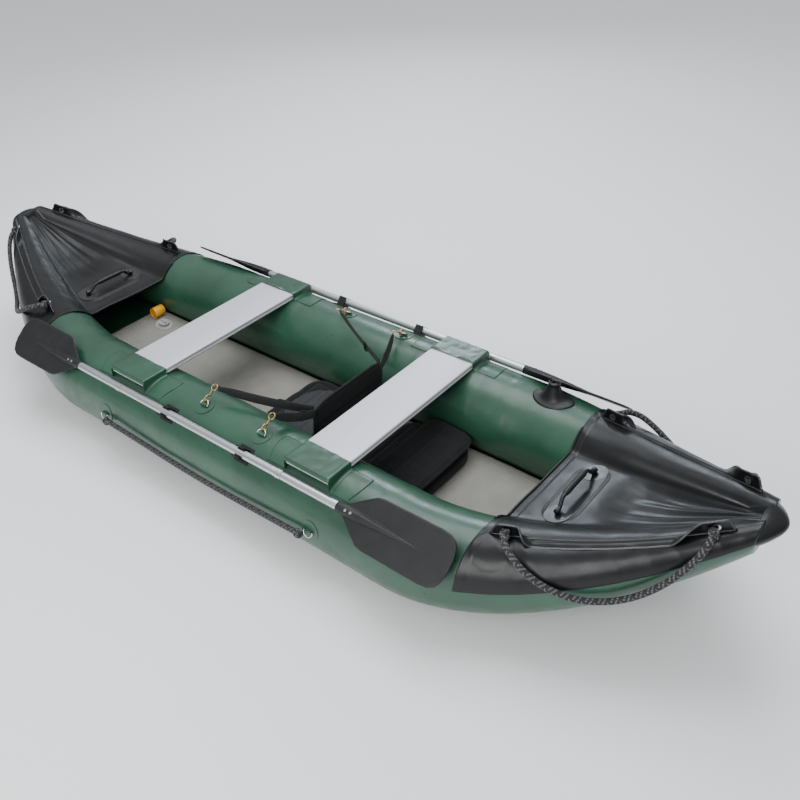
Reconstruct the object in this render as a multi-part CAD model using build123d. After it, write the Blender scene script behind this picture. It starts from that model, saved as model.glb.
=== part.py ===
from build123d import *
import math
import os

# Two-person inflatable kayak. Millimetres, +Z up, +X towards the stern, +Y towards starboard.
# The origin is on the ground, under the middle of the hull.

# ---------------------------------------------------------------- driving sizes
hull_length = 3500.0          # over both nose caps
hull_beam = 1030.0            # over both side tubes
tube_diameter = 318.0         # side tube, in the straight middle of the hull
tube_end_diameter = 76.0      # side tube where the nose cap takes over
tube_end_spacing = 92.0       # between the two tube axes at the nose cap
tube_end_height = 468.0       # height of the tube axes at the nose cap
nose_length = 50.0            # each nose cap, along the hull
taper_length = 900.0          # at each end, where the tubes close in and rise
sheet_thickness = 2.0         # reinforced PVC sheet
clearance = 0.3               # between pieces that are glued or rest on each other
seam_gap = 0.6                # extra, where a curved seam is built from short flats

floor_thickness = 70.0
floor_setback = 600.0         # from the end of the tubes to the end of the floor mat
deck_length = 660.0           # each spray deck, from the end of the tubes
deck_edge_height = 268.0
deck_tip_height = 492.0
deck_thickness = 3.0
cover_hem = 0.15              # hem of the deck skin, above the tube axis, as a share of its radius

bench_width = 187.0
bench_overhang = 78.0         # of a bench end, outboard of the tube axis
bench_thickness = 25.0
bench_x = (-443.0, 460.0)     # centre lines of the bow bench and the stern bench
bench_play = 1.0              # between a bench and its sleeve, each way
bench_edge_radius = 5.5
sleeve_inboard = 23.0         # of the tube axis
sleeve_outboard = 86.0
sleeve_flange = 28.0

shaft_diameter = 29.0
shaft_length = 1350.0
shaft_wall = 1.5
shaft_gap = 5.5               # from the tube to a stowed shaft
stow_angle = 50.4             # of the stowed paddle round the tube, above the horizontal
paddle_x = {"port": -40.0, "starboard": 30.0}
clip_x = {"port": (-194.0, 190.0), "starboard": (-190.0, 212.0)}
clip_length = 34.0
clip_wall = 5.0
clip_pad_length = 62.0
clip_pad_width = 58.0
blade_length = 400.0
blade_width = 170.0
blade_thickness = 6.0
blade_neck_length = 66.0      # round part that takes the end of the shaft
blade_neck_overlap = 16.0     # of the neck over the shaft
blade_neck_wall = 2.0
ferrule_wall = 1.2
ferrule_length = 24.0
ferrule_offset = 412.0        # from the middle of the shaft
rivet_diameter = 9.0
rivet_at = (24.0, 44.0)       # past the end of the shaft

ring_wire = 5.0
ring_width = 40.0
gunwale_ring_x = (-85.0, 200.0)
gunwale_ring_angle = 81.0
side_ring_x = (-526.0, 526.0)
side_ring_angle = 6.0
ring_bar_lift = 8.0           # of the ring's straight bar off the tube
ring_rise = 25.0              # of the ring's bow off the tube, in degrees
ring_tab_length = 10.0        # webbing that holds the bar
patch_diameter = 72.0

hook_radius = 12.0            # of the snap hook's bow, to the middle of its wire
hook_wire = 6.0
hook_gate_wire = 3.4
hook_pivot = 20.0             # degrees round the bow, from the neck to the gate's root
hook_gap = 70.0               # degrees of the bow that the gate closes
hook_neck = 22.0
hook_eye_radius = 12.0
hook_eye_wire = 4.0

grommet_outer = 24.0
grommet_bore = 12.0
grommet_setback = (585.0, 95.0)    # from the end of the tubes
flap_setback = (630.0, 50.0)
flap_height = 40.0
flap_lean = 18.0              # outboard of the tube's axis
grommet_share = 0.52          # of the flap's height, up to a grommet

rope_diameter = 20.0

handle_setback = 535.0        # from the end of the tubes
handle_span = 224.0           # between the two handle patches
handle_height = 27.0
handle_grip = 21.0
handle_bar = 13.0             # round bar that the handle swings on and is made of
handle_loop_wall = 2.5
handle_loop_length = 12.0
handle_patch_diameter = 84.0

seat_base_length = 320.0
seat_side_gap = 28.0          # from the seat base to each edge of the floor mat
seat_base_thickness = 62.0
seat_back_overhang = 1.0      # of the backrest past each side of the base
seat_back_height = 218.0
seat_back_thickness = 28.0
seat_back_lean = 7.0          # degrees aft of upright, middle seat
stowed_back_lean = -83.0      # stern seat, folded forward on its base
seat_corner = 40.0
seat_back_corner = 45.0
middle_seat_front_x = -105.0
stern_seat_front_x = 366.0

strap_width = 25.0
strap_thickness = 2.0
buckle_share = 0.66           # of the way from the hook to the backrest

valve_flange_diameter = 74.0
valve_setback = 709.0         # from the end of the tubes at the bow
valve_y = 111.0
valve_cap_diameter = 46.0
valve_neck_diameter = 34.0
valve_recess = 6.0            # of the flange into the floor mat
valve_flange_thickness = 8.0
tag_offset = (-66.0, 22.0)    # from the floor valve
tag_width = 52.0
tag_height = 50.0
tag_wall = 1.5
tube_valve_setback = 570.0    # from the end of the tubes at the stern
tube_valve_flange_radius = 34.0
tube_valve_neck_radius = 15.0
tube_valve_cap_radius = 20.0

boot_setback = 820.0          # from the end of the tubes at the stern
boot_inboard = 11.0           # of the tube axis
boot_length = 150.0
boot_width = 96.0
boot_height = 72.0
boot_socket_diameter = 16.0
boot_socket_depth = 40.0

# ---------------------------------------------------------------- the hull's shape
tube_radius = tube_diameter / 2
tube_end_radius = tube_end_diameter / 2
half_tube = hull_length / 2 - nose_length
half_straight = half_tube - taper_length
tube_mid_y = hull_beam / 2 - tube_radius
tube_mid_z = sheet_thickness + clearance + tube_radius

deck_inboard_x = half_tube - deck_length
flap_from_x, flap_to_x = [half_tube - setback for setback in flap_setback]
grommet_x = [half_tube - setback for setback in grommet_setback]
handle_x = half_tube - handle_setback
valve_x = valve_setback - half_tube
tube_valve_x = half_tube - tube_valve_setback
boot_x = half_tube - boot_setback
boot_y = tube_mid_y - boot_inboard
sleeve_inboard_y = tube_mid_y - sleeve_inboard
sleeve_outboard_y = tube_mid_y + sleeve_outboard
bench_length = 2 * (tube_mid_y + bench_overhang)
shaft_standoff = shaft_diameter / 2 + shaft_gap
BOTTOM = (Align.CENTER, Align.CENTER, Align.MIN)
SIDES = {"port": -1, "starboard": 1}
ENDS = {"bow": -1, "stern": 1}


def end_share(x):
    """0 along the straight middle of the hull, rising to 1 where the nose cap starts."""
    return max(0.0, (abs(x) - half_straight) / (half_tube - half_straight))


def tube_y(x):
    return tube_mid_y - (tube_mid_y - tube_end_spacing / 2) * end_share(x) ** 1.6


def tube_z(x):
    return tube_mid_z + (tube_end_height - tube_mid_z) * end_share(x) ** 2


def tube_r(x):
    return tube_radius - (tube_radius - tube_end_radius) * end_share(x) ** 1.75


def stretch(function, x):
    """How much longer a slanting tube's upright section is than a square one."""
    step = 1.0
    slope = (function(x + step) - function(x - step)) / (2 * step)
    return math.sqrt(1 + slope * slope)


def tube_ry(x):
    return tube_r(x) * stretch(tube_y, x)


def tube_rz(x):
    return tube_r(x) * stretch(tube_z, x)


def tube_top(x, y_offset=0.0):
    """Height of the tube's skin, y_offset to the side of its axis."""
    return tube_z(x) + tube_rz(x) * math.sqrt(1 - (y_offset / tube_ry(x)) ** 2)


def tube_inner_y(x, z, swell=0.0):
    """Distance from the middle of the hull to the tube's inboard skin at a height z."""
    reach = max(-1.0, min(1.0, (z - tube_z(x)) / (tube_rz(x) + swell)))
    return tube_y(x) - (tube_ry(x) + swell) * math.sqrt(1 - reach * reach)


def spread(low, high, count):
    return [low + (high - low) * i / (count - 1) for i in range(count)]


def tube_solid(side, low, high, count, swell=0.0):
    """The inflated side tube from x = low to x = high, made larger all round by swell."""
    sections = []
    for x in spread(low, high, count):
        plane = Plane(origin=(x, side * tube_y(x), tube_z(x)), x_dir=(0, 1, 0), z_dir=(1, 0, 0))
        sections.append(plane * Ellipse(tube_ry(x) + swell, tube_rz(x) + swell))
    return loft(sections)


def side_tube(side):
    ends = [tube_solid(side, s * half_straight, s * half_tube, 8) for s in (-1, 1)]
    middle = tube_solid(side, -half_straight, half_straight, 2)
    return middle + ends[0] + ends[1]


def slab(xs, underside, thickness, half_width):
    """A sheet or mat: a side view that follows underside(x), cut to the plan half_width(x)."""
    lower = [(x, 0, underside(x)) for x in xs]
    upper = [(x, 0, underside(x) + thickness) for x in reversed(xs)]
    side_view = make_face(Polyline(*lower, *upper, close=True))
    body = extrude(side_view, amount=hull_beam / 2, dir=(0, 1, 0), both=True)
    outline = [(x, half_width(x), -10) for x in xs] + [(x, -half_width(x), -10) for x in reversed(xs)]
    plan = extrude(make_face(Polyline(*outline, close=True)), amount=hull_length / 2, dir=(0, 0, 1))
    return body & plan


def tube_plane(side, x, angle, lift=0.0):
    """A plane on the straight tube's skin: local X along the hull, local Z outward."""
    turn = math.radians(angle)
    normal = Vector(0, side * math.cos(turn), math.sin(turn))
    centre = Vector(x, side * tube_mid_y, tube_mid_z)
    return Plane(origin=centre + normal * (tube_radius + lift), x_dir=(1, 0, 0), z_dir=normal)


def tube_bar(side, radius, x=0.0, length=2 * half_straight):
    """A round bar along the straight tube's axis."""
    plane = Plane(origin=(x, side * tube_mid_y, tube_mid_z), z_dir=(1, 0, 0))
    return plane * Cylinder(radius, length)


def skin_patch(side, cutter, x):
    """The part of a glued patch, one sheet thick, that lies on the straight tube within cutter."""
    outer = tube_bar(side, tube_radius + clearance + sheet_thickness, x, 400)
    return (cutter & outer) - tube_bar(side, tube_radius + clearance, x, 400)


def save(name, *solids):
    shape = solids[0] if len(solids) == 1 else Compound(children=list(solids))
    export_step(shape, f"parts/{name}.step")
    print(name, len(shape.solids()), round(shape.volume / 1000, 1), "cm3")


# ---------------------------------------------------------------- hull, floor and decks
def sheet_underside(x):
    seam = clearance + seam_gap * min(1.0, 4 * end_share(x))
    return tube_z(x) - tube_rz(x) - seam - sheet_thickness


def floor_underside(x):
    return sheet_underside(x) + sheet_thickness + clearance


def floor_half_width(x):
    return tube_inner_y(x, floor_underside(x) + floor_thickness) - 3.0


def keel_stations(limit):
    """Places along the hull, closer where the bottom curves up, that end at limit."""
    floor_end = half_tube - floor_setback
    half = spread(half_straight, floor_end, 10)
    if limit > floor_end:
        half += spread(floor_end, limit, 15)[1:]
    return [-x for x in reversed(half)] + half


def floor_plane(x, y):
    """The floor mat's upper face at a place, local Z square to it."""
    rise = (floor_underside(x + 5) - floor_underside(x - 5)) / 10
    origin = (x, y, floor_underside(x) + floor_thickness)
    return Plane(origin=origin, x_dir=(1, 0, rise), z_dir=(-rise, 0, 1))


def deck_plane(end):
    """The deck's upper face under the carry handle, local X towards the end of the hull."""
    rise = (deck_underside(handle_x + 5) - deck_underside(handle_x - 5)) / 10
    origin = (end * handle_x, 0, deck_underside(handle_x) + deck_thickness + seam_gap)
    return Plane(origin=origin, x_dir=(end, 0, rise), z_dir=(-end * rise, 0, 1))


def deck_share(x):
    return (abs(x) - deck_inboard_x) / (half_tube - deck_inboard_x)


def deck_underside(x):
    return deck_edge_height + (deck_tip_height - deck_edge_height) * deck_share(x) ** 1.35


def deck_half_width(x):
    skin = clearance + sheet_thickness
    lower = tube_inner_y(x, deck_underside(x), skin)
    upper = tube_inner_y(x, deck_underside(x) + deck_thickness, skin)
    return max(2.0, min(lower, upper) - clearance - seam_gap)


def bottom_sheet():
    return slab(keel_stations(half_tube), sheet_underside, sheet_thickness, tube_y)


def floor_mat():
    mat = slab(keel_stations(half_tube - floor_setback), floor_underside, floor_thickness, floor_half_width)
    seat = floor_plane(valve_x, valve_y) * Pos(0, 0, -valve_recess)
    return mat - seat * Cylinder(valve_flange_diameter / 2 + clearance, 40, align=BOTTOM)


def spray_deck(end):
    xs = [end * x for x in spread(deck_inboard_x, half_tube, 10)]
    if end < 0:
        xs = xs[::-1]
    return slab(xs, deck_underside, deck_thickness, deck_half_width)


def tube_cover(end, side):
    """Deck skin over a side tube: from the deck's seam, over the crown, to its outboard hem."""
    low, high = sorted((end * deck_inboard_x, end * half_tube))
    outer = tube_solid(side, low, high, 7, clearance + sheet_thickness)
    inner = tube_solid(side, low, high, 7, clearance)
    xs = spread(low, high, 13)
    seam = [(x, 0, deck_underside(x)) for x in xs]
    hem = [(x, 0, tube_z(x) + cover_hem * tube_rz(x)) for x in xs]
    roof = [(high, 0, hull_beam), (low, 0, hull_beam)]
    across = (0, side, 0)
    above_seam = extrude(make_face(Polyline(*seam, *roof, close=True)), amount=hull_beam, dir=across)
    above_hem = extrude(make_face(Polyline(*hem, *roof, close=True)), amount=hull_beam, dir=across)
    axis = [(x, side * tube_y(x), -10) for x in xs]
    wide = [(high, side * hull_beam, -10), (low, side * hull_beam, -10)]
    outboard = extrude(make_face(Polyline(*axis, *wide, close=True)), amount=hull_beam, dir=(0, 0, 1))
    skin = outer - inner
    return (skin & above_seam) + (skin & above_hem & outboard)


def nose_cap(end):
    """Rounded moulding that closes both tube ends."""
    start = end * (half_tube + clearance)
    tip = end * hull_length / 2
    sections = []
    for share, size in ((0.0, 1.0), (0.35, 0.78), (0.75, 0.50), (1.0, 0.22)):
        x = start + (tip - start) * share
        wide = (tube_end_spacing / 2 + tube_end_radius) * size
        high = (tube_end_radius + 6) * size
        rise = 22.0 * share
        plane = Plane(origin=(x, 0, tube_end_height + rise), x_dir=(0, 1, 0), z_dir=(end, 0, 0))
        sections.append(plane * Ellipse(wide, high))
    return loft(sections)


# ---------------------------------------------------------------- benches and sleeves
bench_underside = tube_mid_z + tube_radius + clearance
bench_middle_z = bench_underside + bench_thickness / 2


def bench(x):
    plank = Pos(x, 0, bench_middle_z) * Box(bench_width, bench_length, bench_thickness)
    long_edges = plank.edges().filter_by(Axis.Y)
    return fillet(long_edges, bench_edge_radius)


def bench_sleeve(side, x):
    """Sheet tunnel on the tube's crown that a bench end passes through, with glued flanges."""
    length = sleeve_outboard_y - sleeve_inboard_y
    y = side * (sleeve_inboard_y + sleeve_outboard_y) / 2
    inside = bench_width + 2 * bench_play
    outside = inside + 2 * sheet_thickness
    roof_z = bench_underside + bench_thickness + bench_play
    floor_z = tube_mid_z
    tunnel = Pos(x, y, floor_z) * Box(outside, length, roof_z + sheet_thickness - floor_z, align=BOTTOM)
    void = Pos(x, y, floor_z - 1) * Box(inside, length + 2, roof_z - floor_z + 1, align=BOTTOM)
    walls = tunnel - void - tube_bar(side, tube_radius + clearance, x, 400)
    base = Pos(x, y, tube_mid_z) * Box(outside + 2 * sleeve_flange, length, 400, align=BOTTOM)
    flange = skin_patch(side, base, x) - void
    return walls + flange


# ---------------------------------------------------------------- rings, patches and hooks
def d_ring():
    """Wire ring: straight bar along local X at the origin, bow towards local +Y."""
    section = Plane(origin=(ring_reach, 0, 0), x_dir=(1, 0, 0), z_dir=(0, 1, 0)) * Circle(ring_wire / 2)
    bow = revolve(section, Axis.Z, 180)
    bar = Rot(0, 90, 0) * Cylinder(ring_wire / 2, 2 * ring_reach)
    corners = [Pos(s * ring_reach, 0, 0) * Sphere(ring_wire / 2) for s in (-1, 1)]
    return bow + bar + corners[0] + corners[1]


def ring_seat(side, x, angle, inboard):
    """Plane of a ring: origin at its bar, local Y towards its bow."""
    base = tube_plane(side, x, angle, ring_bar_lift)
    along = side * (1 if inboard else -1)
    plane = base if base.y_dir.Y * along < 0 else Plane(base.origin, -base.x_dir, base.z_dir)
    return plane * Rot(ring_rise, 0, 0)


def ring_patch(side, x, angle):
    """Round glued patch with the webbing tab that holds the ring's bar."""
    plane = tube_plane(side, x, angle)
    disc = plane * Cylinder(patch_diameter / 2, 40)
    patch = skin_patch(side, disc, x)
    tab_width = ring_width - 3 * ring_wire
    tab = plane * Pos(0, 0, -3) * Box(tab_width, ring_tab_length, 3 + ring_bar_lift + 4, align=BOTTOM)
    tab = tab - tube_bar(side, tube_radius + clearance, x, 400)
    hole = plane * Pos(0, 0, ring_bar_lift) * Rot(0, 90, 0) * Cylinder(ring_wire / 2 + 2 * clearance, 60)
    return (patch + tab) - hole


ring_reach = ring_width / 2 - ring_wire / 2
hook_reach = ring_reach + hook_radius - hook_wire / 2 - ring_wire / 2 - 1.0


def hook_frame(side, x):
    """Snap hook on a gunwale ring: local X from the ring towards the strap, in an upright plane."""
    seat = ring_seat(side, x, gunwale_ring_angle, True)
    origin = seat * Pos(0, hook_reach, 0)
    point = origin.position
    towards = (seat * Pos(0, hook_reach + 10, 0)).position - point
    return Plane(origin=point, x_dir=towards, z_dir=(side, 0, 0))


def hook_arc(radius, wire, start, sweep):
    section = Plane(origin=(radius, 0, 0), x_dir=(1, 0, 0), z_dir=(0, 1, 0)) * Circle(wire / 2)
    return Rot(0, 0, start) * revolve(section, Axis.Z, sweep)


def snap_hook():
    """Cast bow, open over hook_gap, a neck and the swivel eye for the strap."""
    bow = hook_arc(hook_radius, hook_wire, hook_pivot + hook_gap, 360 - hook_gap - hook_pivot)
    neck = Pos(hook_radius, 0, 0) * Rot(0, 90, 0) * Cylinder(hook_wire / 2 + 1, hook_neck, align=BOTTOM)
    eye_x = hook_radius + hook_neck + hook_eye_radius
    eye = Pos(eye_x, 0, 0) * Rot(90, 0, 0) * Torus(hook_eye_radius, hook_eye_wire / 2)
    pivot = hook_arc(hook_radius, hook_wire, -2, hook_pivot)
    return bow + pivot + neck + eye


def gate_ends():
    """Root and tip of the gate on the bow's centre line."""
    turns = [math.radians(a) for a in (hook_pivot, hook_pivot + hook_gap)]
    return [Vector(hook_radius * math.cos(a), hook_radius * math.sin(a), 0) for a in turns]


def hook_gate():
    """Sprung bar across the bow's opening, a little short of it at both ends."""
    root, tip = gate_ends()
    line = (tip - root).normalized()
    short = hook_gate_wire / 2 + 2 * clearance
    start = root + line * short
    length = (tip - root).length - 2 * short
    return Plane(origin=start, z_dir=line) * Cylinder(hook_gate_wire / 2, length, align=BOTTOM)


# ---------------------------------------------------------------- paddles and clips
def paddle_frame(side, x):
    """Stowed paddle: local X along the hull, local Z straight out of the clips."""
    return tube_plane(side, x, stow_angle, shaft_standoff)


def paddle_shaft(side):
    radius = shaft_diameter / 2
    tube = Cylinder(radius, shaft_length) - Cylinder(radius - shaft_wall, shaft_length)
    return paddle_frame(side, paddle_x[name_of(side)]) * Rot(0, 90, 0) * tube


def name_of(side):
    return "port" if side < 0 else "starboard"


def blade(side, end):
    """Blade with its neck over the end of the shaft: sloping shoulders and a blunt, rounded tip."""
    half = blade_width / 2
    neck = shaft_diameter / 2 + blade_neck_wall
    outline = [(0, neck * 0.6), (18, neck + 6), (blade_length * 0.29, half * 0.97),
               (blade_length * 0.82, half), (blade_length * 0.97, half * 0.8), (blade_length, half * 0.3)]
    points = outline + [(x, -y) for x, y in reversed(outline)]
    plate = extrude(make_face(Polyline(*points, close=True)), amount=blade_thickness / 2, both=True)
    corners = plate.edges().filter_by(Axis.Z).sort_by(Axis.X)[4:]
    plate = fillet(corners, 12)
    socket = Pos(-blade_neck_overlap, 0, 0) * Rot(0, 90, 0) * Cylinder(neck, blade_neck_length, align=BOTTOM)
    taper_from = blade_neck_length - blade_neck_overlap
    round_end = Plane(origin=(taper_from, 0, 0), z_dir=(1, 0, 0)) * Circle(neck)
    thin_end = Plane(origin=(blade_length * 0.8, 0, 0), z_dir=(1, 0, 0)) * Circle(blade_thickness * 0.7)
    ridge = loft([round_end, thin_end])
    hole = Pos(-200, 0, 0) * Rot(0, 90, 0) * Cylinder(shaft_diameter / 2 + clearance, 210, align=BOTTOM)
    whole = plate + socket + ridge - hole
    plane = paddle_frame(side, paddle_x[name_of(side)] + end * (shaft_length / 2))
    if end < 0:
        whole = Rot(0, 0, 180) * whole
    return plane * whole


def paddle_fittings(side):
    """Two shaft ferrules, and two rivets in each blade neck."""
    frame = paddle_frame(side, paddle_x[name_of(side)])
    bore = shaft_diameter / 2 + clearance
    ferrule = Cylinder(bore + ferrule_wall, ferrule_length) - Cylinder(bore, ferrule_length)
    pieces = [frame * Pos(s * ferrule_offset, 0, 0) * Rot(0, 90, 0) * ferrule for s in (-1, 1)]
    neck = shaft_diameter / 2 + blade_neck_wall
    for end in (-1, 1):
        for along in rivet_at:
            seat = frame * Pos(end * (shaft_length / 2 + along), 0, neck)
            pieces.append(seat * Cylinder(rivet_diameter / 2, 2.5, align=BOTTOM))
    return pieces


def paddle_clip(side, x):
    """U-shaped jaw, open straight outward, on a pad glued to the tube."""
    frame = paddle_frame(side, x)
    slot = shaft_diameter / 2 + clearance
    outer = slot + clip_wall
    jaw = Rot(0, 90, 0) * Cylinder(outer, clip_length)
    jaw = jaw + Box(clip_length, 2 * outer, slot + 2, align=BOTTOM)
    foot = Pos(0, 0, -shaft_standoff - 4) * Box(clip_length, 2 * outer, shaft_standoff + 4, align=BOTTOM)
    jaw = jaw + foot - Rot(0, 90, 0) * Cylinder(slot, clip_length + 2)
    jaw = jaw - Box(clip_length + 2, 2 * slot, outer + 10, align=BOTTOM)
    jaw = frame * jaw - tube_bar(side, tube_radius + clearance, x, 400)
    pad = skin_patch(side, frame * Box(clip_pad_length, clip_pad_width, 80), x)
    return jaw + pad


# ---------------------------------------------------------------- flaps, grommets and ropes
def flap_y(x):
    return tube_y(x) + flap_lean * (1 - 0.35 * end_share(x))


def flap_foot(x):
    return tube_top(x, flap_y(x) - tube_y(x)) + sheet_thickness + 3 * clearance


def rope_flap(end, side):
    """Stand-up strip along the top of a tube end, with a hole at each grommet."""
    xs = spread(flap_from_x, flap_to_x, 8)
    foot = [(x, 0, flap_foot(x)) for x in xs]
    length = flap_to_x - flap_from_x
    top = [(x, 0, flap_foot(x) + flap_height) for x in spread(flap_from_x + 14, flap_to_x - 14, 8)]
    side_view = make_face(Polyline(*foot, *reversed(top), close=True))
    body = extrude(side_view, amount=hull_beam / 2, dir=(0, 1, 0))
    near = [(x, flap_y(x), 0) for x in xs]
    far = [(x, flap_y(x) + deck_thickness, 0) for x in reversed(xs)]
    plan = extrude(make_face(Polyline(*near, *far, close=True)), amount=length * 2, dir=(0, 0, 1))
    flap = body & plan
    for x in grommet_x:
        flap = flap - grommet_seat(x) * Cylinder(grommet_bore / 2 + 2.3, 40)
    return mirrored(flap, end, side)


def mirrored(shape, end, side):
    """Carry a piece of the starboard stern quarter to another quarter of the hull."""
    if end < 0 and side < 0:
        return Rot(0, 0, 180) * shape
    if end < 0:
        return mirror(shape, Plane.YZ)
    if side < 0:
        return mirror(shape, Plane.XZ)
    return shape


def grommet_seat(x):
    """Square through the flap at a grommet, local Z outboard."""
    slope = (flap_y(x + 1) - flap_y(x - 1)) / 2
    middle = flap_y(x) + deck_thickness / 2
    origin = (x, middle, flap_foot(x) + flap_height * grommet_share)
    return Plane(origin=origin, x_dir=(1, slope, 0), z_dir=(-slope, 1, 0))


def grommet(x):
    """Pressed steel eyelet: a barrel through the flap and a flange on each face."""
    half = deck_thickness / 2 + seam_gap + clearance
    barrel = Cylinder(grommet_bore / 2 + 2, 2 * half + 2)
    flange = Cylinder(grommet_outer / 2, 1.2)
    whole = barrel + Pos(0, 0, half + 0.6) * flange + Pos(0, 0, -half - 0.6) * flange
    return grommet_seat(x) * (whole - Cylinder(grommet_bore / 2, 20))


# Rope routes, each point as (place along the hull, degrees round the tube, distance off its skin).
# The grab rope at the starboard stern starts at its inboard-end grommet; its places are from the tube's end.
end_rope_route = [
    (582, 82.0, 25.6), (570, 69.5, 36.4), (526, 53.8, 39.9), (468, 35.1, 27.9), (400, 14.4, 21.5),
    (332, -4.8, 22.2), (270, -17.2, 25.9), (214, -19.7, 28.4), (166, -12.0, 27.4), (128, 4.0, 23.4),
    (100, 25.6, 22.6), (88, 53.5, 25.4), (91, 74.4, 24.6),
]
# The starboard side rope runs from the forward side ring to the after one.
side_rope_route = [
    (-508.5, 2.1, 22.6), (-400, -0.4, 19.0), (-250, -4.3, 16.5), (-85, -6.6, 17.2),
    (85, -6.9, 17.3), (250, -5.0, 16.7), (400, -1.1, 19.0), (508.5, 2.1, 22.6),
]


def off_skin(x, angle, lift):
    """Point beside the starboard tube."""
    turn = math.radians(angle)
    y = tube_y(x) + (tube_ry(x) + lift) * math.cos(turn)
    return Vector(x, y, tube_z(x) + (tube_rz(x) + lift) * math.sin(turn))


def rope(route, diameter, end, side):
    """A soft rope: straight runs with an arc as large as the two runs allow at each point."""
    points = [off_skin(*place) for place in route]
    radii = []
    for before, here, after in zip(points, points[1:], points[2:]):
        turn = math.radians((here - before).get_angle(after - here))
        run = min((here - before).length, (after - here).length)
        radii.append(0.45 * run / math.tan(turn / 2))
    print("rope radii", [round(r) for r in radii])
    path = FilletPolyline(*points, radius=radii)
    start = Plane(origin=points[0], z_dir=points[1] - points[0])
    tube = sweep(start * Circle(diameter / 2), path=path)
    section = math.pi * diameter ** 2 / 4
    print("rope length", round(path.length), "volume share", round(tube.volume / (section * path.length), 4))
    return mirrored(tube, end, side)


# ---------------------------------------------------------------- deck handles
handle_axis_lift = clearance + sheet_thickness + handle_bar / 2 + handle_loop_wall


def deck_handle(end):
    """Arched bar with a thicker grip; its two straight feet turn in the loops of the patches."""
    foot = handle_span / 2 + handle_loop_length / 2 + 2
    knee = handle_span / 2 - handle_loop_length / 2 - 12
    points = [(0, -foot, 0), (0, -knee, 0), (0, -knee * 0.8, handle_height), (0, knee * 0.8, handle_height),
              (0, knee, 0), (0, foot, 0)]
    path = FilletPolyline(*points, radius=9)
    bar = sweep(Plane(origin=points[0], z_dir=(0, 1, 0)) * Circle(handle_bar / 2), path=path)
    grip = Pos(0, 0, handle_height) * Rot(90, 0, 0) * Cylinder(handle_grip / 2, knee * 1.25)
    return deck_plane(end) * Pos(0, 0, handle_axis_lift) * (bar + grip)


def handle_patches(end):
    """Round glued patch with a loop on top, under each foot of the handle."""
    patch = Pos(0, 0, clearance) * Cylinder(handle_patch_diameter / 2, sheet_thickness, align=BOTTOM)
    bore = handle_bar / 2 + clearance
    ring = Cylinder(bore + handle_loop_wall, handle_loop_length) - Cylinder(bore, handle_loop_length)
    loop = Pos(0, 0, handle_axis_lift) * Rot(90, 0, 0) * ring
    patch = patch + (loop & Pos(0, 0, clearance) * Box(60, 60, 60, align=BOTTOM))
    return [deck_plane(end) * Pos(0, side * handle_span / 2, 0) * patch for side in (-1, 1)]


# ---------------------------------------------------------------- seats
def seat_base_width():
    return 2 * (floor_half_width(0) - seat_side_gap)


def seat_back_width():
    return seat_base_width() + 2 * seat_back_overhang


def seat_floor_z():
    return floor_underside(0) + floor_thickness + clearance


def seat_base(front_x):
    base = Pos(front_x + seat_base_length / 2, 0, seat_floor_z())
    pad = base * Box(seat_base_length, seat_base_width(), seat_base_thickness, align=BOTTOM)
    return fillet(pad.edges().filter_by(Axis.Z), seat_corner)


def seat_hinge(front_x):
    """Seam between base and backrest, at the base's upper aft edge."""
    return Vector(front_x + seat_base_length + clearance, 0, seat_floor_z() + seat_base_thickness)


def seat_back(front_x, lean):
    """Backrest panel rising from the seam; lean is degrees aft of upright."""
    corner = (Align.MIN, Align.CENTER, Align.MIN)
    panel = Box(seat_back_thickness, seat_back_width(), seat_back_height, align=corner)
    panel = fillet(panel.edges().filter_by(Axis.X), seat_back_corner)
    hinge = seat_hinge(front_x)
    return Pos(*hinge) * Rot(0, lean, 0) * Pos(clearance, 0, clearance) * panel


def strip(start, finish, width, thickness, width_dir):
    """Flat webbing from start to finish."""
    line = finish - start
    plane = Plane(origin=start, x_dir=width_dir - line * (width_dir.dot(line) / line.dot(line)), z_dir=line)
    return plane * Box(width, thickness, line.length, align=BOTTOM)


def strap_ends(side, x):
    """Where a seat strap starts at its hook's eye and ends at the backrest."""
    frame = hook_frame(side, x)
    eye = frame.from_local_coords(Vector(hook_radius + hook_neck + hook_eye_radius, 0, 0))
    hinge = seat_hinge(middle_seat_front_x)
    lean = math.radians(seat_back_lean)
    up = seat_back_height * (0.86 if x < 0 else 0.80)
    forward = seat_back_thickness * (0.3 if x < 0 else 0.7)
    beside = side * (seat_back_width() / 2 + clearance)
    finish = Vector(hinge.X + up * math.sin(lean) + forward, beside, hinge.Z + up)
    line = (finish - eye).normalized()
    finish += Vector(0, side * (strap_width * abs(line.Y * line.Z) + strap_thickness * abs(line.X)) / 2, 0)
    reach = hook_eye_radius + hook_eye_wire / 2 + 0.1
    start = eye + (finish - eye).normalized() * reach
    return start, finish


def seat_strap(side, x):
    start, finish = strap_ends(side, x)
    return strip(start, finish, strap_width, strap_thickness, Vector(0, 0, 1))


def strap_buckle(side, x):
    """Ladder-lock that the webbing runs through, two thirds of the way to the backrest."""
    start, finish = strap_ends(side, x)
    line = finish - start
    middle = start + line * buckle_share
    width_dir = Vector(0, 0, 1)
    plane = Plane(origin=middle, x_dir=width_dir - line * (width_dir.dot(line) / line.dot(line)), z_dir=line)
    frame = Box(strap_width + 10, 8, 26) - Box(strap_width + 1, strap_thickness + 0.8, 30)
    return plane * frame


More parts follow.
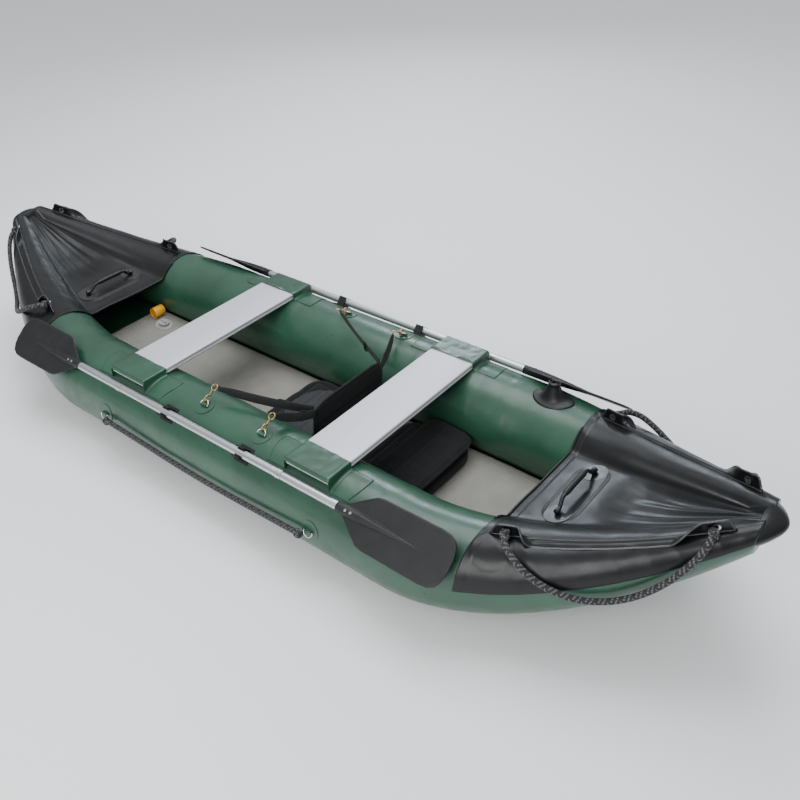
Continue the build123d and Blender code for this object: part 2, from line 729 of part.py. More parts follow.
# ---------------------------------------------------------------- valves, tag and rowlock boot
def floor_valve():
    """Flange let into the floor mat, with the neck that the cap screws on."""
    seat = floor_plane(valve_x, valve_y) * Pos(0, 0, clearance - valve_recess)
    flange = Cylinder(valve_flange_diameter / 2, valve_flange_thickness, align=BOTTOM)
    neck = Cylinder(valve_neck_diameter / 2, valve_flange_thickness + 8, align=BOTTOM)
    bore = Pos(0, 0, 2) * Cylinder(valve_neck_diameter / 2 - 4, 20, align=BOTTOM)
    return seat * (flange + neck - bore)


def valve_cap_solid():
    """Screw cap with a bar to turn it by, open below for the valve's neck."""
    cap = Cylinder(valve_cap_diameter / 2, 13, align=BOTTOM)
    grip = Pos(0, 0, 13) * Box(valve_cap_diameter * 0.7, 7, 6, align=BOTTOM)
    room = Pos(0, 0, -1) * Cylinder(valve_neck_diameter / 2 + clearance, 10, align=BOTTOM)
    return cap + grip - room


def floor_valve_cap():
    lift = 2 * clearance - valve_recess + valve_flange_thickness
    return floor_plane(valve_x, valve_y) * Pos(0, 0, lift) * valve_cap_solid()


def valve_tag():
    """Blank soft tag looped over beside the floor valve."""
    outer = tag_height / 2
    loop = Rot(90, 0, 0) * (Cylinder(outer, tag_width) - Cylinder(outer - tag_wall, tag_width))
    seat = floor_plane(valve_x + tag_offset[0], valve_y + tag_offset[1])
    return seat * Pos(0, 0, outer + clearance) * loop


def tube_valve_plane(side):
    x = tube_valve_x
    level = tube_z(x) - 20
    y = side * tube_inner_y(x, level)
    normal = (-0.25, -0.89 * side, -0.15)
    return Plane(origin=(x, y, level), z_dir=normal)


def tube_valve(side):
    plane = tube_valve_plane(side)
    flange = plane * Pos(0, 0, -6) * Cylinder(tube_valve_flange_radius, 12, align=BOTTOM)
    neck = plane * Cylinder(tube_valve_neck_radius, 17, align=BOTTOM)
    body = flange + neck - tube_solid(side, tube_valve_x - 120, tube_valve_x + 120, 5, clearance)
    return body.solids().sort_by(SortBy.VOLUME)[-1]


def tube_valve_cap(side):
    plane = tube_valve_plane(side)
    cap = plane * Pos(0, 0, 7) * Cylinder(tube_valve_cap_radius, 14, align=BOTTOM)
    room = plane * Pos(0, 0, 6) * Cylinder(tube_valve_neck_radius + clearance, 11 + clearance, align=BOTTOM)
    grip = plane * Pos(0, 0, 21) * Box(28, 6, 5, align=BOTTOM)
    return cap + grip - room


def rowlock_boot():
    """Oval flange on the tube's crown, a cone above it, and a forked top with a socket."""
    crown = tube_mid_z + tube_radius
    base = Pos(boot_x, boot_y, crown - 12) * extrude(Ellipse(boot_length / 2, boot_width / 2), amount=16)
    low = Pos(boot_x, boot_y, crown + 3) * Ellipse(boot_length * 0.30, boot_width * 0.34)
    top = Pos(boot_x, boot_y, crown + boot_height) * Ellipse(19, 17)
    cone = loft([low, top])
    tube = tube_bar(1, tube_radius + clearance, boot_x, 400)
    if boot_x + boot_length / 2 > half_straight:
        tube = tube_solid(1, boot_x - 150, boot_x + 150, 5, clearance)
    boot = base + cone - tube
    lip = crown + boot_height
    socket = Pos(boot_x, boot_y, lip - boot_socket_depth)
    boot = boot - socket * Cylinder(boot_socket_diameter / 2, 60, align=BOTTOM)
    for s in (-1, 1):
        horn = Pos(boot_x + s * 13.5, boot_y, lip - 3) * Box(5, 14, 15, align=BOTTOM)
        boot = boot + horn
    return boot.solids().sort_by(SortBy.VOLUME)[-1]


# ---------------------------------------------------------------- build every node
def main():
    os.makedirs("parts", exist_ok=True)
    save("bottom_sheet", bottom_sheet())
    save("floor_mat", floor_mat())
    save("floor_valve", floor_valve())
    save("floor_valve_cap", floor_valve_cap())
    save("floor_valve_tag", valve_tag())
    save("tube_valves", *[tube_valve(side) for side in (-1, 1)])
    for side_name, side in SIDES.items():
        save(f"{side_name}_tube", side_tube(side))
        save(f"{side_name}_tube_valve_cap", tube_valve_cap(side))
        save(f"{side_name}_paddle_shaft", paddle_shaft(side))
        save(f"{side_name}_paddle_fittings", *paddle_fittings(side))
        save(f"{side_name}_side_rope", rope(side_rope_route, rope_diameter, 1, side))
    end_route = [(half_tube - setback, angle, lift) for setback, angle, lift in end_rope_route]
    for end_name, end in ENDS.items():
        save(f"{end_name}_deck", spray_deck(end))
        save(f"{end_name}_nose_cap", nose_cap(end))
        save(f"{end_name}_deck_handle", deck_handle(end))
        for side_name, side in SIDES.items():
            quarter = f"{end_name}_{side_name}"
            save(f"{quarter}_cover", tube_cover(end, side))
            save(f"{quarter}_rope_flap", rope_flap(end, side))
            save(f"{quarter}_rope", rope(end_route, rope_diameter, end, side))
            save(f"{side_name}_{end_name}_blade", blade(side, end))
    for (end_name, x) in zip(ENDS, bench_x):
        save(f"{end_name}_bench", bench(x))
        for side_name, side in SIDES.items():
            save(f"{end_name}_{side_name}_bench_sleeve", bench_sleeve(side, x))
    quarters = [(end, side) for end in ENDS.values() for side in SIDES.values()]
    save("grommets", *[mirrored(grommet(x), end, side) for end, side in quarters for x in grommet_x])
    spots = [(s, x, gunwale_ring_angle, True) for s in (-1, 1) for x in gunwale_ring_x]
    side_spots = [(s, x, side_ring_angle, False) for s in (-1, 1) for x in side_ring_x]
    save("d_rings", *[ring_seat(*spot) * d_ring() for spot in spots + side_spots])
    under_rings = [ring_patch(s, x, a) for s, x, a, _ in spots + side_spots]
    under_handles = [patch for end in ENDS.values() for patch in handle_patches(end)]
    save("glued_patches", *under_rings, *under_handles)
    hooks = [(s, x) for s in (-1, 1) for x in gunwale_ring_x]
    save("snap_hooks", *[hook_frame(s, x) * snap_hook() for s, x in hooks])
    for side_name, side in SIDES.items():
        for place, x in zip(("fore", "aft"), gunwale_ring_x):
            save(f"{side_name}_{place}_hook_gate", hook_frame(side, x) * hook_gate())
    save("paddle_clips", *[paddle_clip(s, x) for n, s in SIDES.items() for x in clip_x[n]])
    save("seat_straps", *[seat_strap(s, x) for s, x in hooks])
    save("strap_buckles", *[strap_buckle(s, x) for s, x in hooks])
    save("middle_seat_base", seat_base(middle_seat_front_x))
    save("middle_seat_backrest", seat_back(middle_seat_front_x, seat_back_lean))
    save("stern_seat_base", seat_base(stern_seat_front_x))
    save("stern_seat_backrest", seat_back(stern_seat_front_x, stowed_back_lean))
    save("rowlock_boot", rowlock_boot())


main()
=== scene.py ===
import bpy
import math
from mathutils import Matrix, Vector, noise


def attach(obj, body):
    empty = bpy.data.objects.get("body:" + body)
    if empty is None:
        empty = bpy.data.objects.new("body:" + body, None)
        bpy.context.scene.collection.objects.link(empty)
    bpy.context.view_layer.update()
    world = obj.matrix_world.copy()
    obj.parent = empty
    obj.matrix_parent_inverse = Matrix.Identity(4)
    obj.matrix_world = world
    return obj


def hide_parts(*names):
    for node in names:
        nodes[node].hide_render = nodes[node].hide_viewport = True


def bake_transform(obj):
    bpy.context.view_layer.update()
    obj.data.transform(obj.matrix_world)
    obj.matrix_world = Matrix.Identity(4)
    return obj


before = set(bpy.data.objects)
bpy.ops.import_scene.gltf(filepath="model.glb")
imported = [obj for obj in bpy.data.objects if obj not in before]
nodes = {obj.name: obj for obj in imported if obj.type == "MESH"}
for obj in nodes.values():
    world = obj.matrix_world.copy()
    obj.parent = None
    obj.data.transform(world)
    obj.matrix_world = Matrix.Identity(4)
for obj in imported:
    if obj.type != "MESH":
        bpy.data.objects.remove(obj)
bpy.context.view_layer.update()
SIDES = {"port": -1, "starboard": 1}
ENDS = {"bow": -1, "stern": 1}


# ---------- hull shape, as in the CAD
MIDDLE_END, TIP = 0.8, 1.7                    # where the tubes start to close in, and where they end
TUBE_Y, TUBE_Z, TUBE_R = 0.356, 0.1613, 0.159   # of the tubes, in the hull's straight middle
CLOSE_IN, RISE, TAPER = 0.310, 0.3067, 0.121    # what these change by, from there to the tip
FREE_EDGE = 1.040                             # of the decks
DECK_LOW, DECK_RISE = 0.271, 0.224
FLOOR_THICKNESS = 0.0700


def share(x):
    """0 in the straight middle of the hull, 1 at its tips."""
    return max(0.0, (abs(x) - MIDDLE_END) / (TIP - MIDDLE_END))


def tube_y(x):
    return TUBE_Y - CLOSE_IN * share(x) ** 1.6


def tube_z(x):
    return TUBE_Z + RISE * share(x) ** 2


def tube_r(x):
    return TUBE_R - TAPER * share(x) ** 1.75


def tube_ry(x):
    return tube_r(x) * math.hypot(1, 0.5511 * share(x) ** 0.6)


def tube_rz(x):
    return tube_r(x) * math.hypot(1, 0.6816 * share(x))


def skin(side, x, angle, lift=0.0):
    """Point on a tube's skin; angle in degrees, 0 outboard, 90 on the crown, 180 inboard."""
    a = math.radians(angle)
    y = tube_y(x) + (tube_ry(x) + lift) * math.cos(a)
    return Vector((x, side * y, tube_z(x) + (tube_rz(x) + lift) * math.sin(a)))


def deck_top(x):
    return DECK_LOW + DECK_RISE * max(0.0, (abs(x) - FREE_EDGE) / (TIP - FREE_EDGE)) ** 1.35


def floor_top(x):
    return tube_z(x) - tube_rz(x) + FLOOR_THICKNESS


def ease(low, high, value):
    """0 below low, 1 above high, smooth between."""
    t = min(1.0, max(0.0, (value - low) / (high - low)))
    return t * t * (3 - 2 * t)


def bump_at(centre, half, value, edge):
    """1 within half of centre, falling to 0 over edge."""
    return 1 - ease(half, half + edge, abs(value - centre))


def rough(x, y, z=0.0):
    """Smooth unevenness from -1 to 1, the same on every run."""
    return noise.noise(Vector((x, y, z)))


def mix(a, b, t):
    return a + (b - a) * t


def squared(value, power):
    """value's sign, with its size to the power: makes a rounded square of a circle."""
    return math.copysign(abs(value) ** power, value)


def spread(low, high, count):
    return [mix(low, high, i / (count - 1)) for i in range(count)]


# ---------- materials
class Finish:
    """A node material: textures in object space feed colour, roughness and bump."""

    def __init__(self, name, colour, roughness=0.4, metal=0.0, **sockets):
        self.mat = bpy.data.materials.new(name)
        self.mat.use_nodes = True
        self.nodes = self.mat.node_tree.nodes
        self.links = self.mat.node_tree.links
        self.shader = self.nodes["Principled BSDF"]
        self.set("Base Color", (*colour, 1))
        self.set("Roughness", roughness)
        self.set("Metallic", metal)
        for key, value in sockets.items():
            self.set(key.replace("_", " "), value)
        self.where = self.nodes.new("ShaderNodeTexCoord")
        self.colour = colour

    def set(self, socket, value):
        self.shader.inputs[socket].default_value = value

    def space(self, stretch):
        mapping = self.nodes.new("ShaderNodeMapping")
        mapping.inputs["Scale"].default_value = stretch
        self.links.new(self.where.outputs["Object"], mapping.inputs["Vector"])
        return mapping.outputs["Vector"]

    def noise(self, scale, detail=4.0, stretch=(1, 1, 1)):
        node = self.nodes.new("ShaderNodeTexNoise")
        node.inputs["Scale"].default_value = scale
        node.inputs["Detail"].default_value = detail
        self.links.new(self.space(stretch), node.inputs["Vector"])
        return node.outputs["Fac"]

    def ribs(self, period, axis="X", kind="Object"):
        """Ridges along one axis, period metres apart."""
        node = self.nodes.new("ShaderNodeTexWave")
        node.bands_direction = axis
        node.inputs["Scale"].default_value = 0.31416 / period
        self.links.new(self.where.outputs[kind], node.inputs["Vector"])
        return node.outputs["Fac"]

    def math(self, operation, a, b):
        node = self.nodes.new("ShaderNodeMath")
        node.operation = operation
        for socket, value in zip(node.inputs, (a, b)):
            if isinstance(value, (int, float)):
                socket.default_value = value
            else:
                self.links.new(value, socket)
        return node.outputs[0]

    def tint(self, factor, dark, light, low=0.35, high=0.65):
        ramp = self.nodes.new("ShaderNodeValToRGB")
        ramp.color_ramp.elements[0].position = low
        ramp.color_ramp.elements[1].position = high
        ramp.color_ramp.elements[0].color = (*[c * dark for c in self.colour], 1)
        ramp.color_ramp.elements[1].color = (*[c * light for c in self.colour], 1)
        self.links.new(factor, ramp.inputs["Fac"])
        self.links.new(ramp.outputs["Color"], self.shader.inputs["Base Color"])
        return ramp.outputs["Color"]

    def overlay(self, factor, base, colour):
        node = self.nodes.new("ShaderNodeMix")
        node.data_type = "RGBA"
        self.links.new(factor, node.inputs["Factor"])
        self.links.new(base, node.inputs[6])
        node.inputs[7].default_value = (*colour, 1)
        self.links.new(node.outputs[2], self.shader.inputs["Base Color"])

    def dull(self, factor, low, high):
        node = self.nodes.new("ShaderNodeMapRange")
        node.inputs["From Min"].default_value = 0.3
        node.inputs["From Max"].default_value = 0.7
        node.inputs["To Min"].default_value = low
        node.inputs["To Max"].default_value = high
        self.links.new(factor, node.inputs["Value"])
        self.links.new(node.outputs["Result"], self.shader.inputs["Roughness"])

    def relief(self, height, distance, strength=1.0):
        node = self.nodes.new("ShaderNodeBump")
        node.inputs["Strength"].default_value = strength
        node.inputs["Distance"].default_value = distance
        before = self.shader.inputs["Normal"].links
        if before:
            self.links.new(before[0].from_socket, node.inputs["Normal"])
        self.links.new(height, node.inputs["Height"])
        self.links.new(node.outputs["Normal"], self.shader.inputs["Normal"])


def coated_fabric(name, colour, roughness, grain=1.0):
    """PVC-coated cloth: soft gloss, faint base weave, scuffs and slow unevenness."""
    finish = Finish(name, colour, roughness, Coat_Weight=0.22, Coat_Roughness=0.18)
    finish.tint(finish.noise(5.0, 6.0), 0.82, 1.18)
    finish.dull(finish.noise(22.0, 5.0), roughness - 0.07, roughness + 0.09)
    weave = finish.math("MULTIPLY", finish.ribs(0.0014, "X"), finish.ribs(0.0014, "Z"))
    finish.relief(finish.noise(9.0, 3.0), 0.004 * grain, 0.35)
    finish.relief(weave, 0.00006 * grain, 0.5)
    finish.relief(finish.noise(420.0, 2.0), 0.0001, 0.35)
    return finish


GREEN = (0.0180, 0.069, 0.039)
BLACK = (0.0030, 0.0033, 0.0040)
green_pvc = coated_fabric("green_pvc", GREEN, 0.34)
black_pvc = coated_fabric("black_pvc", BLACK, 0.35, 1.2)
black_pvc.set("Specular IOR Level", 0.34)
black_pvc.set("Coat Weight", 0.12)

# patches are green on the tubes and black on the decks, which start beyond 1 m
patch_pvc = coated_fabric("patch_pvc", GREEN, 0.36)
split = patch_pvc.nodes.new("ShaderNodeSeparateXYZ")
patch_pvc.links.new(patch_pvc.where.outputs["Object"], split.inputs[0])
beyond = patch_pvc.math("GREATER_THAN", patch_pvc.math("ABSOLUTE", split.outputs["X"], 0.0), 1.0)
patch_green = patch_pvc.tint(patch_pvc.noise(5.0, 6.0), 0.82, 1.18)
patch_pvc.overlay(beyond, patch_green, BLACK)

# flap welts: black PVC painted a lighter grey, which is a painted highlight along the welts
welt_highlight_pvc = coated_fabric("welt_highlight_pvc", (0.030, 0.032, 0.036), 0.26)

floor_pvc = Finish("floor_fabric", (0.245, 0.232, 0.208), 0.50)
floor_pvc.tint(floor_pvc.noise(14.0, 6.0), 0.93, 1.06)
grid = floor_pvc.math("MULTIPLY", floor_pvc.ribs(0.0085, "X"), floor_pvc.ribs(0.0085, "Y"))
floor_pvc.relief(grid, 0.0010, 0.9)
floor_pvc.relief(floor_pvc.noise(300.0, 3.0), 0.0003, 0.5)

brushed = Finish("bench_aluminium", (0.62, 0.61, 0.645), 0.46, 0.35)
brushed.tint(brushed.noise(3.0, 5.0, (60, 1.0, 60)), 0.97, 1.02)
brushed.dull(brushed.noise(4.0, 4.0, (90, 1.2, 90)), 0.42, 0.50)
brushed.relief(brushed.noise(6.0, 3.0, (160, 1.5, 160)), 0.00006, 0.6)

shaft_metal = Finish("shaft_aluminium", (0.62, 0.63, 0.65), 0.30, 0.95)
shaft_metal.tint(shaft_metal.noise(4.0, 5.0, (1, 40, 40)), 0.86, 1.06)
shaft_metal.dull(shaft_metal.noise(5.0, 4.0, (1.2, 90, 90)), 0.24, 0.40)
shaft_metal.relief(shaft_metal.noise(9.0, 3.0, (1.5, 200, 200)), 0.00005, 0.5)

steel = Finish("steel", (0.66, 0.66, 0.66), 0.24, 1.0)
steel.dull(steel.noise(90.0, 4.0), 0.16, 0.34)
steel.relief(steel.noise(500.0, 2.0), 0.00004, 0.4)

brass = Finish("brass", (0.62, 0.42, 0.16), 0.28, 1.0)
brass.tint(brass.noise(60.0, 4.0), 0.75, 1.1)
brass.dull(brass.noise(120.0, 4.0), 0.2, 0.4)


def moulded(name, colour, roughness, grain=0.00012):
    finish = Finish(name, colour, roughness)
    finish.tint(finish.noise(18.0, 5.0), 0.85, 1.15)
    finish.dull(finish.noise(60.0, 4.0), roughness - 0.06, roughness + 0.08)
    finish.relief(finish.noise(900.0, 2.0), grain, 0.7)
    return finish


blade_plastic = moulded("blade_plastic", (0.0115, 0.0118, 0.0128), 0.46, 0.0002)
blade_plastic.set("Specular IOR Level", 0.36)
black_plastic = moulded("black_plastic", (0.006, 0.006, 0.007), 0.38)
boot_rubber = moulded("boot_rubber", (0.007, 0.007, 0.008), 0.46, 0.0002)
grey_plastic = moulded("valve_grey", (0.36, 0.35, 0.33), 0.45)
yellow_pvc = moulded("tag_yellow", (0.90, 0.42, 0.012), 0.42)

nylon = Finish("seat_fabric", (0.0035, 0.0035, 0.0042), 0.80, Sheen_Weight=0.08, Sheen_Roughness=0.5)
nylon.set("Specular IOR Level", 0.25)
nylon.tint(nylon.noise(35.0, 5.0), 0.7, 1.3)
cloth = nylon.math("MULTIPLY", nylon.ribs(0.0016, "X"), nylon.ribs(0.0016, "Y"))
nylon.relief(cloth, 0.0003, 0.8)
nylon.relief(nylon.noise(60.0, 4.0), 0.0012, 0.5)

pad_cloth = Finish("seat_pad", (0.013, 0.0135, 0.015), 0.78, Sheen_Weight=0.12, Sheen_Roughness=0.5)
pad_cloth.tint(pad_cloth.noise(50.0, 5.0), 0.8, 1.2)
twill = pad_cloth.math("MULTIPLY", pad_cloth.ribs(0.0022, "X"), pad_cloth.ribs(0.0022, "Y"))
pad_cloth.relief(twill, 0.0004, 0.8)

webbing = Finish("webbing", (0.0045, 0.0045, 0.005), 0.66, Sheen_Weight=0.08)
webbing.tint(webbing.noise(80.0, 3.0), 0.7, 1.35)
webbing.relief(webbing.ribs(0.0022, "X", "UV"), 0.0005, 0.8)
webbing.relief(webbing.ribs(0.0018, "Y", "UV"), 0.0003, 0.6)

rope_fibre = Finish("rope", (0.0060, 0.0060, 0.0068), 0.66, Sheen_Weight=0.10)
rope_black = rope_fibre.tint(rope_fibre.noise(300.0, 3.0), 0.6, 1.4)
fleck = rope_fibre.nodes.new("ShaderNodeAttribute")
fleck.attribute_name = "fleck"
rope_fibre.overlay(fleck.outputs["Fac"], rope_black, (0.13, 0.13, 0.14))
rope_fibre.relief(rope_fibre.noise(1400.0, 2.0), 0.0002, 0.6)


# ---------- mesh makers
def piece(name, verts, faces, finish, body, replaced=()):
    mesh = bpy.data.meshes.new(name)
    mesh.from_pydata([tuple(v) for v in verts], [], faces)
    mesh.validate()
    mesh.shade_smooth()
    obj = bpy.data.objects.new(name, mesh)
    bpy.context.scene.collection.objects.link(obj)
    mesh.materials.append(finish.mat)
    if body:
        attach(obj, body)
    if replaced:
        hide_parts(*replaced)
    return obj


def grid_faces(rows, columns, closed=False, wrap=False):
    """Faces of a grid; closed joins the ends of each row, wrap joins the last row to the first."""
    faces = []
    for i in range(rows if wrap else rows - 1):
        for j in range(columns if closed else columns - 1):
            k = (j + 1) % columns
            low, high = i * columns, ((i + 1) % rows) * columns
            faces.append((low + j, low + k, high + k, high + j))
    return faces


def lofted(name, rows, finish, body, replaced=(), closed=True, flip=False):
    """Skin through rows of points. Closed rows get caps, which makes a solid."""
    verts = [p for row in rows for p in row]
    count = len(rows[0])
    faces = grid_faces(len(rows), count, closed)
    if closed:
        faces.append(tuple(reversed(range(count))))
        faces.append(tuple(range(len(verts) - count, len(verts))))
    if flip:
        faces = [tuple(reversed(f)) for f in faces]
    return piece(name, verts, faces, finish, body, replaced)


def measure_uv(obj, columns):
    """UVs in metres, along and across the rows of a lofted piece."""
    mesh = obj.data
    rows = len(mesh.vertices) // columns
    at = [v.co.copy() for v in mesh.vertices]
    along, across = [0.0] * rows, [0.0] * columns
    for i in range(1, rows):
        along[i] = along[i - 1] + (at[i * columns] - at[(i - 1) * columns]).length
    for j in range(1, columns):
        across[j] = across[j - 1] + (at[j] - at[j - 1]).length
    layer = mesh.uv_layers.new(name="metres")
    for loop in mesh.loops:
        i, j = divmod(loop.vertex_index, columns)
        layer.data[loop.index].uv = (along[min(i, rows - 1)], across[j])


def modifier(obj, kind, **settings):
    made = obj.modifiers.new(kind.lower(), kind)
    for key, value in settings.items():
        setattr(made, key, value)
    return made


def thicken(obj, thickness, offset=-1.0):
    modifier(obj, "SOLIDIFY", thickness=thickness, offset=offset)


def frames_along(points, up=Vector((0, 0, 1))):
    """Two cross directions at each point of a path, turned as little as possible."""
    made, side = [], None
    for i, here in enumerate(points):
        ahead = (points[min(i + 1, len(points) - 1)] - points[max(i - 1, 0)]).normalized()
        side = ahead.cross(up) if side is None else side - ahead * side.dot(ahead)
        side.normalize()
        made.append((here, side.copy(), ahead.cross(side)))
    return made


def tube_along(name, points, radius, finish, body, replaced=(), around=16, up=Vector((0, 0, 1))):
    """Round bar along points; radius is a number or one number for each point."""
    radii = radius if isinstance(radius, list) else [radius] * len(points)
    turns = [2 * math.pi * j / around for j in range(around)]
    rows = []
    for (here, side, over), r in zip(frames_along(points, up), radii):
        rows.append([here + side * r * math.cos(a) + over * r * math.sin(a) for a in turns])
    return lofted(name, rows, finish, body, replaced)


# ---------- camera
camera_data = bpy.data.cameras.new("camera")
camera_data.lens = 38.64
camera_data.sensor_width = 36
camera = bpy.data.objects.new("camera", camera_data)
right = Vector((0.78094, 0.62305, -0.04405))
above = Vector((-0.34099, 0.48436, 0.80568))
camera.matrix_world = Matrix.Translation((2.0075, -1.7857, 2.0742)) @ \
    Matrix((right, above, right.cross(above))).transposed().to_4x4()
bpy.context.scene.collection.objects.link(camera)
bpy.context.scene.camera = camera


# ---------- ropes
ROPE = 0.020
END_ROUTE = [
    (1.118, 0.321, 0.367), (1.130, 0.357, 0.370), (1.174, 0.386, 0.358), (1.232, 0.392, 0.324),
    (1.300, 0.376, 0.292), (1.368, 0.343, 0.272), (1.430, 0.304, 0.273), (1.486, 0.269, 0.298),
    (1.534, 0.240, 0.342), (1.572, 0.211, 0.394), (1.600, 0.181, 0.444), (1.612, 0.147, 0.486),
    (1.609, 0.119, 0.499),
]
SIDE_ROUTE = [
    (-0.5085, 0.5375, 0.168), (-0.400, 0.534, 0.160), (-0.250, 0.531, 0.148), (-0.085, 0.531, 0.141),
    (0.085, 0.531, 0.140), (0.250, 0.531, 0.146), (0.400, 0.534, 0.158), (0.5085, 0.5375, 0.168),
]


def smooth_route(route):
    """Points along the NURBS curve that has the route as its control points."""
    curve = bpy.data.curves.new("route", "CURVE")
    curve.dimensions = "3D"
    spline = curve.splines.new("NURBS")
    spline.points.add(len(route) - 1)
    for point, place in zip(spline.points, route):
        point.co = (*place, 1)
    spline.order_u = 3
    spline.use_endpoint_u = True
    spline.resolution_u = 12
    holder = bpy.data.objects.new("route", curve)
    mesh = bpy.data.meshes.new_from_object(holder)
    points = [v.co.copy() for v in mesh.vertices]
    bpy.data.objects.remove(holder)
    bpy.data.curves.remove(curve)
    bpy.data.meshes.remove(mesh)
    return points


def evenly(points, step):
    """The same path at even steps, and its length."""
    total = sum((b - a).length for a, b in zip(points, points[1:]))
    count = max(2, round(total / step))
    out, gone, k = [points[0].copy()], 0.0, 0
    for n in range(1, count):
        want = total * n / count
        while gone + (points[k + 1] - points[k]).length < want:
            gone += (points[k + 1] - points[k]).length
            k += 1
        run = (points[k + 1] - points[k]).length
        out.append(points[k].lerp(points[k + 1], (want - gone) / run))
    out.append(points[-1].copy())
    return out, total


def braid(name, points, radius, replaced=()):
    """Plaited rope: two families of strands that pass over and under each other."""
    step, around, strands, pitch = 0.0017, 32, 5, 0.034
    path, total = evenly(points, step)
    rows, flecks = [], []
    for i, (here, side, over) in enumerate(frames_along(path)):
        row = []
        for j in range(around):
            angle = j / around
            along = i / (len(path) - 1) * total / pitch
            u, v = strands * (angle + along), strands * (angle - along)
            top = (math.floor(u) + math.floor(v)) % 2
            strand = u if top else v
            crest = math.sin(math.pi * (strand % 1.0)) ** 0.7
            other = math.sin(math.pi * ((v if top else u) % 1.0)) ** 0.5
            r = radius * (0.80 + 0.20 * crest * (0.45 + 0.55 * other))
            a = 2 * math.pi * angle
            row.append(here + side * r * math.cos(a) + over * r * math.sin(a))
            bright = math.floor(strand) % strands in ((1, 3) if top else (0, 3))
            flecks.append(1.0 if bright and crest > 0.72 and other > 0.45 else 0.0)
        rows.append(row)
    obj = lofted(name, rows, rope_fibre, "hull", replaced)
    layer = obj.data.attributes.new("fleck", "FLOAT", "POINT")
    layer.data.foreach_set("value", flecks)
    return obj


def knot(name, centre, size, axis):
    """Overhand knot pulled up round the rope, its length along axis."""
    axis = Vector(axis).normalized()
    side = axis.cross(Vector((0.3, 0.2, 1))).normalized()
    over = axis.cross(side)
    points = []
    for k in range(72):
        a = 2 * math.pi * k / 72
        u = size * 0.72 * (math.sin(a) + 2 * math.sin(2 * a)) / 3
        v = size * 0.72 * (math.cos(a) - 2 * math.cos(2 * a)) / 3
        w = -size * math.sin(3 * a) / 2
        points.append(centre + side * u + over * v + axis * w)
    return braid(name, points + [points[0].copy()], size * 0.44)


def mirrored_route(route, end, side):
    return [(end * x, side * y, z) for x, y, z in route]


def tied(name, route, node):
    """A grab rope with a knot at each end."""
    points = smooth_route(route)
    path, total = evenly(points, 0.01)
    rope = braid(name, points, ROPE / 2, [node])
    for label, at, toward in (("start", path[0], path[2]), ("finish", path[-1], path[-3])):
        way = (toward - at).normalized()
        knot(f"{name}_knot_{label}", at + way * 0.012, 0.0145, way)
    return rope


for side_name, side in SIDES.items():
    tied(f"{side_name}_side_grab_rope", mirrored_route(SIDE_ROUTE, 1, side), f"{side_name}_side_rope")
    for end_name, end in ENDS.items():
        quarter = f"{end_name}_{side_name}"
        tied(f"{quarter}_grab_rope", mirrored_route(END_ROUTE, end, side), f"{quarter}_rope")


# ---------- side tubes
BENCH_X = {"bow": -0.443, "stern": 0.460}
PANEL_SEAM_X = 0.735             # seam tape round the tubes
LENGTH_SEAMS = (-62, 205)        # seam tapes along them, as angles round the tube


def tube_relief(side, x, angle):
    """Raised seams and glued patches on a tube, and the slow unevenness of inflated fabric."""
    lift = 0.0008 * bump_at(PANEL_SEAM_X, 0.016, abs(x), 0.002)
    for seam in LENGTH_SEAMS:
        lift += 0.0008 * bump_at(seam, 5.0, (angle + 90) % 360 - 90, 0.8)
    for bench_x in BENCH_X.values():
        lift += 0.0009 * bump_at(bench_x, 0.140, x, 0.002) * bump_at(95, 62, angle, 0.8)
    lift += 0.0011 * rough(x * 2.3, math.radians(angle) * 1.1, side * 4.0)
    lift += 0.0005 * rough(x * 9.0, math.radians(angle) * 3.0, side * 7.0)
    return lift


for side_name, side in SIDES.items():
    rows = []
    for x in spread(-TIP, TIP, 341):
        rows.append([skin(side, x, a, tube_relief(side, x, a)) for a in range(0, 360, 3)])
    lofted(f"{side_name}_side_tube", rows, green_pvc, "hull", [f"{side_name}_tube"],
           flip=side < 0)


# ---------- black ends: deck and covers in one skin
HEM_ANGLE = 9.0                  # of the covers' lower edge, above the tube's widest line
SKIN_LIFT = 0.0030               # of the black skin off the tubes
GROMMET_X = (1.115, 1.605)
HANDLE_X = 1.165


def end_section(x):
    """Section of an end's skin, from the starboard hem over the tube and deck to the port hem."""
    level = min(0.985, (deck_top(x) - tube_z(x)) / (tube_rz(x) + SKIN_LIFT))
    contact = 180 - math.degrees(math.asin(level))
    half = [skin(1, x, a, SKIN_LIFT) for a in spread(HEM_ANGLE, contact, 64)]
    inner = max(0.002, half[-1].y)
    half[-1].y = inner
    sag = 0.024 * ease(1.215, 1.36, x) * (1 - ease(1.42, 1.66, x))
    for y in spread(inner, 0.0, 34)[1:]:
        half.append(Vector((x, y, deck_top(x) - sag * (1 - (y / inner) ** 2))))
    # soften the line where the deck leaves the tube
    for turn in range(10):
        for k in range(52, 78):
            half[k] = half[k] * 0.5 + (half[k - 1] + half[k + 1]) * 0.25
    return half + [Vector((p.x, -p.y, p.z)) for p in reversed(half[:-1])], inner


def ridge(value):
    """Sharp fold where value crosses zero."""
    return 1 - min(1.0, abs(value) * 2.6)


def soft_fold(value):
    """Rounded fold where value crosses zero."""
    return math.exp(-(value * 3.4) ** 2)


